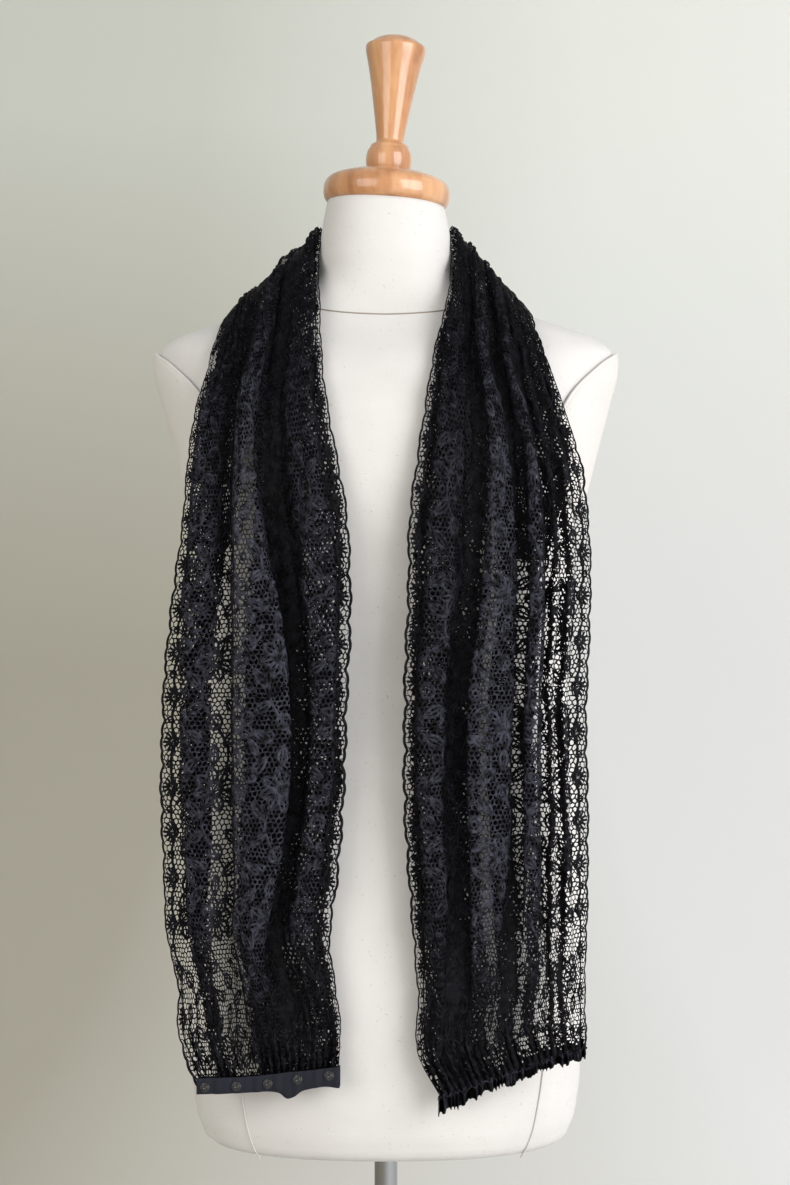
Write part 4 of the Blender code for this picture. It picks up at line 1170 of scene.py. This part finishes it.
def skin_points(heights, angles, lift=0.0):
    """Points of the form's skin for whole arrays of heights and angles, moved out by lift."""
    heights, angles = np.broadcast_arrays(np.asarray(heights, float), np.asarray(angles, float))
    shape = heights.shape
    heights = heights.ravel()
    angles = angles.ravel()
    table = np.array(FORM_RINGS)

    def at(height, angle):
        sizes = along(table[:, 0], table[:, 1:], height)
        c = np.cos(angle)
        s = np.sin(angle)
        power = 2.0 / FORM_SQUARE
        x = sizes[:, 0] * np.sign(c) * np.abs(c) ** power
        deep = np.where(s < 0, sizes[:, 1], sizes[:, 2])
        y = deep * np.sign(s) * np.abs(s) ** power
        lean = np.clip((height - 0.285) / 0.035, 0.0, 1.0)
        return np.stack([x, y, height - lean * x * math.tan(NECK_LEAN) + EYE], axis=1)

    place = at(heights, angles)
    round_it = at(heights, angles + 0.03) - at(heights, angles - 0.03)
    out = np.cross(round_it, at(heights + 0.003, angles) - at(heights - 0.003, angles))
    out /= np.maximum(np.linalg.norm(out, axis=1, keepdims=True), 1e-12)
    lift = np.broadcast_to(np.asarray(lift, float), shape).ravel()
    return (place + out * lift[:, None]).reshape(*shape, 3)


def tube(path, radius, sides, closed=False):
    """Points and quads of a round tube along a path, each ring square to the path."""
    path = np.asarray(path, float)
    run = np.gradient(path, axis=0)
    if closed:
        run = np.roll(path, -1, axis=0) - np.roll(path, 1, axis=0)
    run /= np.linalg.norm(run, axis=1, keepdims=True)
    up = np.where(np.abs(run[:, 2:3]) > 0.9, np.array([[0.0, 1.0, 0.0]]), np.array([[0.0, 0.0, 1.0]]))
    side = np.cross(run, up)
    side /= np.linalg.norm(side, axis=1, keepdims=True)
    top = np.cross(side, run)
    turn = np.linspace(0, 2 * math.pi, sides, endpoint=False)
    radius = np.broadcast_to(np.asarray(radius, float), len(path))[:, None, None]
    ring = side[:, None] * np.cos(turn)[None, :, None] + top[:, None] * np.sin(turn)[None, :, None]
    points = path[:, None] + ring * radius
    rows = len(path)
    r, c = np.meshgrid(np.arange(rows if closed else rows - 1), np.arange(sides), indexing="ij")
    nxt = (r + 1) % rows
    n = (c + 1) % sides
    quads = np.stack([r * sides + c, r * sides + n, nxt * sides + n, nxt * sides + c], axis=-1)
    return points.reshape(-1, 3), quads.reshape(-1, 4)


def joined(name, parts, look, smooth=True):
    """One object from several sets of points and quads."""
    count = 0
    points = []
    quads = []
    for some, faces in parts:
        points.append(some.reshape(-1, 3))
        quads.append(faces + count)
        count += len(points[-1])
    return mesh_object(name, np.concatenate(points), [np.concatenate(quads)], look, smooth)[0]


def linen_look(name, colour):
    """Cream cloth with a fine weave, soft slubs and a few darker flecks."""
    made, nodes, links, shader = surface_look(name, colour, 0.94, Sheen_Weight=0.12)
    shader.inputs["Specular IOR Level"].default_value = 0.18
    wide = noise(nodes, links, 14.0, 3.0, 0.6)
    dark = tuple(0.93 * c for c in colour)
    tone = ramp(nodes, links, wide, ((0.30, dark), (0.70, colour)))
    fleck = noise(nodes, links, 420.0, 1.0, 0.4)
    mask = ramp(nodes, links, fleck, ((0.715, (0, 0, 0)), (0.76, (1, 1, 1))))
    mix = nodes.new("ShaderNodeMix")
    mix.data_type = "RGBA"
    mix.inputs[7].default_value = (0.42, 0.37, 0.31, 1.0)
    soft = nodes.new("ShaderNodeMath")
    soft.operation = "MULTIPLY"
    soft.inputs[1].default_value = 0.45
    links.new(mask, soft.inputs[0])
    links.new(soft.outputs[0], mix.inputs[0])
    links.new(tone, mix.inputs[6])
    links.new(mix.outputs[2], shader.inputs["Base Color"])
    across = noise(nodes, links, 260.0, 2.0, 0.5, (0.25, 0.25, 3.0))
    bump(nodes, links, shader, across, 0.16, 0.0006)
    return made


def build_form():
    """Smooth skin of the torso and neck, with the seams and piping of its cover."""
    look = linen_look("form_linen", (0.645, 0.632, 0.625))
    parts = ((-0.4520, -0.400, 12), (-0.394, 0.176, 58), (0.182, 0.3200, 42))
    heights = np.concatenate([np.linspace(*part) for part in parts])
    angles = np.linspace(0, 2 * math.pi, FORM_AROUND + 1)[:-1]
    skin = skin_points(heights[:, None], angles[None, :], -0.0004)
    seams = []
    # Panel seams, the same in front and behind: height, then distance from the middle
    panel = (
        (-0.4510, 0.100), (-0.4350, 0.106), (-0.4000, 0.113), (-0.3400, 0.118), (-0.2400, 0.115),
        (-0.1300, 0.102), (-0.0500, 0.094), (0.0300, 0.092), (0.1000, 0.094), (0.1600, 0.100),
        (0.2000, 0.104),
    )
    table = np.array(panel)
    at = np.linspace(table[0, 0], table[-1, 0], 150)
    x = along(table[:, 0], table[:, 1:], at)[:, 0]
    half = along(np.array(FORM_RINGS)[:, 0], np.array(FORM_RINGS)[:, 1:2], at)[:, 0]
    for side in (-1, 1):
        c = np.clip(x * (1.04 + 0.04 * side) / half, 0.0, 0.98) ** (FORM_SQUARE / 2)
        for face in (-1, 1):
            angle = np.arctan2(face * np.sqrt(1 - c * c), side * c)
            seams.append(tube(skin_points(at, angle, 0.0002), 0.0008, 6))
    # Middle of the back, then both sides: angle, top of the seam and number of stations
    for angle, top, count in ((math.pi / 2, 0.2400, 150), (0.0, 0.0700, 120), (math.pi, 0.0700, 120)):
        at = np.linspace(-0.4510, top, count)
        seams.append(tube(skin_points(at, np.full(count, angle), 0.0002), 0.0006, 6))
    inner = np.array([0.55, 0.0])[:, None, None]
    floor = skin[0]
    centre = floor.mean(axis=0)
    under = centre + (floor - centre) * inner
    top = skin[-1]
    middle = top.mean(axis=0)
    cover = middle + (top - middle) * inner
    shell = np.concatenate([under[::-1], skin, cover])
    made = joined("form_cover", [(shell, grid_quads(len(shell), FORM_AROUND, True))], look)
    piece(made, "linen_cover", "form_body")
    piping = joined("form_seams", seams, linen_look("seam_linen", (0.60, 0.585, 0.565)))
    piece(piping, "linen_cover")
    turn = np.linspace(0, 2 * math.pi, 361)[:-1]
    height = 0.2445 - 0.0215 * np.clip(-np.sin(turn), 0, 1) ** 2 + 0.004 * np.abs(np.cos(turn))
    line = skin_points(height, turn, -0.0001)
    shade = surface_look("seam_shade", (0.30, 0.26, 0.215), 0.9)[0]
    stitch = joined("neck_seam", [tube(line, 0.00055, 5, True)], shade)
    piece(stitch, "linen_cover")


def build_arm_plates():
    """Padded ovals over the armholes with a piping round each."""
    look = linen_look("plate_linen", (0.640, 0.620, 0.605))
    for name, side in (("left", -1), ("right", 1)):
        share = np.concatenate([[0.0001], np.linspace(0.06, 0.9, 18), [0.95, 0.98, 1.0, 1.0]])
        turn = np.linspace(0, 2 * math.pi, 97)[:-1]
        angle = share[:, None] * 0.70 * np.cos(turn)[None, :]
        height = 0.1295 + share[:, None] * 0.0665 * np.sin(turn)[None, :]
        if side < 0:
            angle = math.pi - angle
        dome = 0.0034 + 0.0022 * (1 - share**2) + 0.0034 * np.sqrt(1 - share**2)
        dome[-1] = 0.0006
        points = skin_points(height, angle, dome[:, None])
        quads = grid_quads(len(share), len(turn), True)
        if side > 0:
            quads = quads[:, ::-1]
        made = joined(f"arm_pad_{name}", [(points, quads)], look)
        piece(made, "plate_cover", f"arm_plate_{name}")
        rim = skin_points(height[-1], angle[-1], 0.0022)
        cloth = linen_look(f"piping_{name}", (0.68, 0.66, 0.64))
        cord = joined(f"arm_piping_{name}", [tube(rim, 0.0016, 8, True)], cloth)
        piece(cord, "plate_cover")


def turned(profile, around, origin=(0.0, 0.0, 0.0), lean=0.0):
    """Points and quads of a round body: each profile row's radius turned about the axis, leant
    towards +X."""
    profile = np.asarray(profile, float)
    turn = np.linspace(0, 2 * math.pi, around, endpoint=False)
    x = profile[:, :1] * np.cos(turn)[None, :]
    y = profile[:, :1] * np.sin(turn)[None, :]
    h = profile[:, 1:]
    points = np.stack(
        [
            origin[0] + x * math.cos(lean) + h * math.sin(lean),
            origin[1] + y,
            origin[2] + h * math.cos(lean) - x * math.sin(lean),
        ],
        axis=-1,
    )
    return points, grid_quads(len(profile), around, True)


def rounded(profile, steps=6):
    """A turned profile with its corners rounded: a smooth curve that follows the given rows."""
    profile = np.asarray(profile, float)
    curve = spline_matrix(len(profile), steps) @ profile
    return np.concatenate([[[0.0, curve[0, 1]]], curve, [[0.0, curve[-1, 1]]]])


def wood_look():
    """Honey-brown varnished wood: stretched noise along the axis for the grain, darker pores."""
    made, nodes, links, shader = surface_look(
        "varnished_honey_wood", (0.55, 0.27, 0.11), 0.30, Coat_Weight=0.8, Coat_Roughness=0.09
    )
    grain = noise(nodes, links, 46.0, 4.0, 0.62, (1.0, 1.0, 0.13))
    tones = (
        (0.30, (0.30, 0.120, 0.042)),
        (0.48, (0.48, 0.225, 0.098)),
        (0.60, (0.57, 0.295, 0.140)),
        (0.75, (0.66, 0.375, 0.190)),
    )
    tone = ramp(nodes, links, grain, tones)
    links.new(tone, shader.inputs["Base Color"])
    pore = noise(nodes, links, 300.0, 2.0, 0.5, (1.0, 1.0, 0.06))
    bump(nodes, links, shader, pore, 0.10, 0.0003)
    return made


def build_cap():
    """Turned wooden cap: a thick disc on the neck and a finial, with its grooves."""
    look = wood_look()
    neck_top = EYE + 0.3200 + GAP
    disc = turned(rounded(CAP_DISC), 128, (0.0, 0.0, neck_top), NECK_LEAN)
    piece(joined("cap_disc_wood", [disc], look), "varnished_wood", "cap_disc")
    up = CAP_DISC[-1][1] + GAP
    seat = (up * math.sin(NECK_LEAN), 0.0, neck_top + up * math.cos(NECK_LEAN))
    finial = turned(rounded(CAP_FINIAL), 96, seat, NECK_LEAN)
    piece(joined("cap_finial_wood", [finial], look), "varnished_wood", "cap_finial")


def build_stand():
    """Chromed pole with its foot collar and a plain round plated base."""
    look = surface_look("bright_plate", (0.34, 0.345, 0.355), 0.13, Metallic=1.0)[0]
    base = (
        (0.001, 0.0), (BASE_RADIUS - 0.003, 0.0), (BASE_RADIUS - 0.0008, 0.0006), (BASE_RADIUS, 0.0022),
        (BASE_RADIUS, 0.0058), (BASE_RADIUS - 0.0012, 0.0078), (BASE_RADIUS - 0.0045, 0.0092),
        (0.120, 0.0108), (0.060, 0.0135),
        (0.030, 0.0152), (0.022, BASE_HEIGHT), (0.001, BASE_HEIGHT),
    )
    piece(joined("base_plate", [turned(base, 128)], look), "stand_steel", "stand_base")
    low = BASE_HEIGHT + GAP
    pole = (
        (0.001, low), (POLE_RADIUS * 1.86, low), (POLE_RADIUS * 1.9, low + 0.0006),
        (POLE_RADIUS * 1.9, low + 0.0094), (POLE_RADIUS * 1.82, low + 0.0102),
        (POLE_RADIUS * 1.5, low + 0.0137), (POLE_RADIUS * 1.06, low + 0.0147),
        (POLE_RADIUS, low + 0.016), (POLE_RADIUS, FORM_BOTTOM - GAP),
    )
    piece(joined("pole_tube", [turned(pole, 64)], look), "stand_steel", "stand_pole")


# Hem pieces


def build_band():
    """Folded tape over the gathered left hem, with a weave, stitching and five press studs."""
    colour = (0.017, 0.018, 0.026)
    look, nodes, links, shader = surface_look("band_tape", colour, 0.80, Specular_IOR_Level=0.10)
    weave = noise(nodes, links, 900.0, 2.0, 0.5, (1.0, 1.0, 0.35))
    bump(nodes, links, shader, weave, 0.25, 0.0004)
    outer, inner, out = hem_frame(0)
    table = np.array(BAND_STATIONS)
    share = np.linspace(0, 1, 161)
    sizes = along(table[:, 0], table[:, 1:], share)
    reach = -0.02 + 1.05 * share
    bow = 0.0045 + 0.0006 * np.sin(9.0 * share)
    middle = outer + (inner - outer) * reach[:, None] + out * bow[:, None]
    ripple = 0.00035 * np.sin(47 * share) + 0.00025 * np.sin(90 * share + 1)
    front = BAND_DEPTH
    inside = BAND_DEPTH - BAND_WALL
    high = sizes[:, 0] / 1000
    low = sizes[:, 1] / 1000
    section = (
        # height above the hem, then place out of the hem
        (high - 0.0003, front - 0.0006),
        (high, front - 0.0002),
        (high - 0.0005, front),
        (0.66 * high + 0.34 * low, front + 0.0003),
        (0.33 * high + 0.67 * low, front + 0.0003),
        (low + 0.0010, front),
        (low + 0.0002, front - 0.0009),
        (low, 0.6 * front),
        (low, -0.6 * front),
        (low + 0.0002, -front + 0.0009),
        (low + 0.0010, -front),
        (high - 0.0015, -front),
        (high - 0.0010, -front + 0.0004),
        (high - 0.0012, -inside),
        (low + BAND_WALL, -inside),
        (low + BAND_WALL, inside),
        (high - 0.0004, inside),
    )
    rows = [middle + UP * height[:, None] + out * (place + ripple)[:, None] for height, place in section]
    points = np.stack(rows, axis=1)
    quads = grid_quads(len(share), len(section), True)
    ring = np.arange(len(section))[None]
    last = (len(share) - 1) * len(section) + ring
    made = mesh_object("band_cloth", points, [quads, ring[:, ::-1], last], look)[0]
    piece(made, "band_cotton", "snap_band")
    build_studs(middle, share, out)


def build_studs(middle, share, out):
    """Sew-on press studs: a domed disc with a knob, four notches in its rim and thread over the rim at each.
    """
    enamel = surface_look("stud_black", (0.010, 0.010, 0.012), 0.18, Coat_Weight=0.6, Coat_Roughness=0.08)[0]
    thread = surface_look("stud_thread", (0.020, 0.020, 0.028), 0.75)[0]
    side = np.cross(out, UP)
    lobes = np.linspace(0, 2 * math.pi, 49)[:-1]
    profile = np.array(
        (
            (1.00, 0.0), (1.00, 0.0004), (0.97, 0.0007), (0.90, 0.00085), (0.80, 0.0009), (0.72, 0.0009),
            (0.60, 0.0009), (0.52, 0.00095), (0.47, 0.0012), (0.45, 0.0019), (0.42, 0.0022), (0.34, 0.0023),
            (0.30, 0.0019), (0.22, 0.0015), (0.001, 0.0014),
        )
    )
    for number, (place, height) in enumerate(STUD_PLACES, 1):
        at = np.array([np.interp(place, share, middle[:, k]) for k in range(3)])
        at = at + UP * height / 1000 + out * (BAND_DEPTH + GAP)
        rim = 1 + 0.045 * np.cos(4 * lobes)
        radius = profile[:, :1] * STUD_RADIUS * np.where(profile[:, :1] > 0.85, rim[None, :], 1.0)
        flat = side * np.cos(lobes)[:, None] + UP * np.sin(lobes)[:, None]
        points = at + flat[None] * radius[..., None] + out * profile[:, 1][:, None, None]
        made = joined(f"stud_{number}", [(points, grid_quads(len(profile), len(lobes), True))], enamel)
        piece(made, "stud_enamel", f"press_stud_{number}")
        loops = []
        for k in range(4):
            turn = math.pi / 4 + k * math.pi / 2
            lean = side * math.cos(turn) + UP * math.sin(turn)
            across = np.cross(out, lean)
            for shift in (-0.00035, 0.0, 0.00035):
                t = np.linspace(0, 1, 9)[:, None]
                arc = at + across * shift + lean * (0.60 + 0.52 * t) * STUD_RADIUS
                arc = arc + out * (0.0008 + 0.0007 * np.sin(math.pi * t) - 0.0008 * t)
                loops.append(tube(arc, 0.00018, 5))
        piece(joined(f"stud_{number}_thread", loops, thread), "band_cotton")


def build_ruffle(look):
    """Gathered header below the right hem. Its surface drops from the hem and waves in and out:
    a sine along the hem with an uneven phase, and a finer one over it; its lower edge wavers."""
    outer, inner, out = hem_frame(1)
    shares = np.linspace(0, 1, 901)[None, :]
    drops = np.linspace(0, 1, 10)[:, None]
    phase = 21 * shares + 0.75 * np.sin(19 * shares + 1) + 0.45 * np.sin(43 * shares)
    wave = np.sin(2 * math.pi * phase + 1.4 * drops) * (0.60 + 0.40 * np.sin(31 * shares + 2))
    depth = 0.0056 + wave * (0.0019 + 0.0024 * np.sin(2.6 * drops))
    depth = depth + 0.0006 * np.sin(2 * math.pi * 47 * shares + 4 * drops) * (0.4 + drops)
    reach = -0.012 + 1.030 * shares + 0.0035 * drops * np.sin(2 * math.pi * phase + 2)
    deep = RUFFLE_HEIGHT * (0.70 + 0.42 * shares**3 + 0.08 * np.sin(17 * shares) + 0.07 * np.sin(53 * shares))
    picot = 0.0005 * np.abs(np.sin(3 * math.pi * phase + 1))
    down = -0.0026 + deep * drops * (1 + 0.10 * np.sin(2 * math.pi * phase)) + picot * drops**2
    points = outer + (inner - outer) * reach[..., None] + out * depth[..., None]
    points = points - UP * down[..., None]
    made, used = mesh_object("ruffle_lace", points, [grid_quads(10, 901)[:, ::-1]], look)
    # Painted highlight: the gathers that stand out furthest are painted lighter, less so lower down.
    crest = ease(depth / 0.0095, 0.45, 0.95) * (1 - 0.4 * drops)
    density_and_painted_light_layer(made, (0.75 * crest).ravel()[used])
    piece(made, "black_lace", "ruffle_hem")
    seam = outer + (inner - outer) * reach[0][:, None] + out * (depth[0] + 0.0004)[:, None]
    seam = seam + 0.0010 * UP * np.sin(2 * math.pi * 0.9 * phase[0])[:, None]
    thick = 0.0008 + 0.0003 * np.sin(2 * math.pi * 96 * shares[0, ::2])
    cord = joined("gather_thread", [tube(seam[::2], thick, 6)], look)
    # The gather thread takes an even painted light.
    density_and_painted_light_layer(cord, np.full(len(cord.data.vertices), 0.4))
    piece(cord, "black_lace")


# Stage, light and camera


def build_stage():
    """A pale floor that turns up all round into a far wall, with painted light and shade: darker and warmer
    to the left, most near the floor, lighter to the right and higher up. It glows faintly in the same
    colours.
    """
    look, nodes, links, shader = surface_look("stage_pale_painted_shade", (0.60, 0.60, 0.55), 0.9)
    shader.inputs["Specular IOR Level"].default_value = 0.1
    place = nodes.new("ShaderNodeTexCoord")
    split = nodes.new("ShaderNodeSeparateXYZ")
    links.new(place.outputs["Object"], split.inputs[0])
    across = level(nodes, links, split.outputs["X"], -2.6, 2.6)
    height = level(nodes, links, split.outputs["Z"], 0.5, 2.6)
    # Painted light and shade: the low tones darken and warm to the left, the high tones stay lighter.
    near = (
        (0.05, (0.35, 0.325, 0.260)),
        (0.40, (0.38, 0.355, 0.295)),
        (0.60, (0.76, 0.76, 0.76)),
        (0.95, (0.85, 0.85, 0.85)),
    )
    far = (
        (0.05, (0.58, 0.585, 0.53)),
        (0.35, (0.63, 0.635, 0.58)),
        (0.65, (0.86, 0.87, 0.83)),
        (0.95, (0.94, 0.94, 0.91)),
    )
    tone = nodes.new("ShaderNodeMix")
    tone.data_type = "RGBA"
    links.new(height, tone.inputs[0])
    links.new(ramp(nodes, links, across, near), tone.inputs[6])
    links.new(ramp(nodes, links, across, far), tone.inputs[7])
    links.new(tone.outputs[2], shader.inputs["Base Color"])
    # The backdrop glows faintly in its painted colours.
    links.new(tone.outputs[2], shader.inputs["Emission Color"])
    shader.inputs["Emission Strength"].default_value = 0.26
    bend = np.linspace(0, math.pi / 2, 25)
    radius = np.concatenate([[0.001, 0.8], 1.5 + 6.5 * np.sin(bend), [8.0]])
    height = np.concatenate([[0.0, 0.0], 6.5 * (1 - np.cos(bend)), [9.0]]) - 0.0005
    turn = np.linspace(0, 2 * math.pi, 97)[:-1]
    points = np.stack(
        [
            radius[:, None] * np.cos(turn)[None, :],
            radius[:, None] * np.sin(turn)[None, :],
            height[:, None] + 0 * turn[None, :],
        ],
        axis=-1,
    )
    mesh_object("stage_floor", points, [grid_quads(len(radius), 96, True)], look)[0]


def area_light(name, place, aim, size, power, colour):
    data = bpy.data.lights.new(name, "AREA")
    data.shape = "RECTANGLE"
    data.size = size[0]
    data.size_y = size[1]
    data.energy = power
    data.color = colour
    made = bpy.data.objects.new(name, data)
    made.location = place
    run = np.array(aim, float) - np.array(place, float)
    made.rotation_euler = (
        math.acos(-run[2] / np.linalg.norm(run)),
        0.0,
        math.atan2(run[1], run[0]) - math.pi / 2,
    )
    made.visible_camera = False
    scene.collection.objects.link(made)


def build_lights():
    area_light("window", (2.2, -2.1, 1.30), (0.0, 0.0, 0.70), (2.2, 2.4), 86.0, (1.0, 0.99, 0.98))
    area_light("fill", (-1.9, -2.6, 1.3), (0.0, 0.0, 0.6), (2.2, 2.2), 44.0, (1.0, 0.96, 0.92))
    world = bpy.data.worlds.new("soft_sky")
    world.use_nodes = True
    back = world.node_tree.nodes["Background"]
    back.inputs["Color"].default_value = (0.95, 0.97, 1.0, 1.0)
    back.inputs["Strength"].default_value = 0.54
    scene.world = world
    scene.view_settings.view_transform = "Standard"


def build_camera():
    data = bpy.data.cameras.new("camera")
    data.sensor_width = 36.0
    data.lens = LENS
    data.clip_start = 0.05
    data.clip_end = 60.0
    made = bpy.data.objects.new("camera", data)
    made.location = (CAMERA_X, CAMERA_Y, EYE)
    made.rotation_euler = (math.radians(90), 0, 0)
    scene.collection.objects.link(made)
    scene.camera = made


def main():
    build_camera()
    build_stage()
    build_lights()
    lace = lace_look()
    build_lace(lace)
    build_hidden_folds(lace)
    build_ruffle(lace)
    build_form()
    build_arm_plates()
    build_cap()
    build_stand()
    build_band()


main()
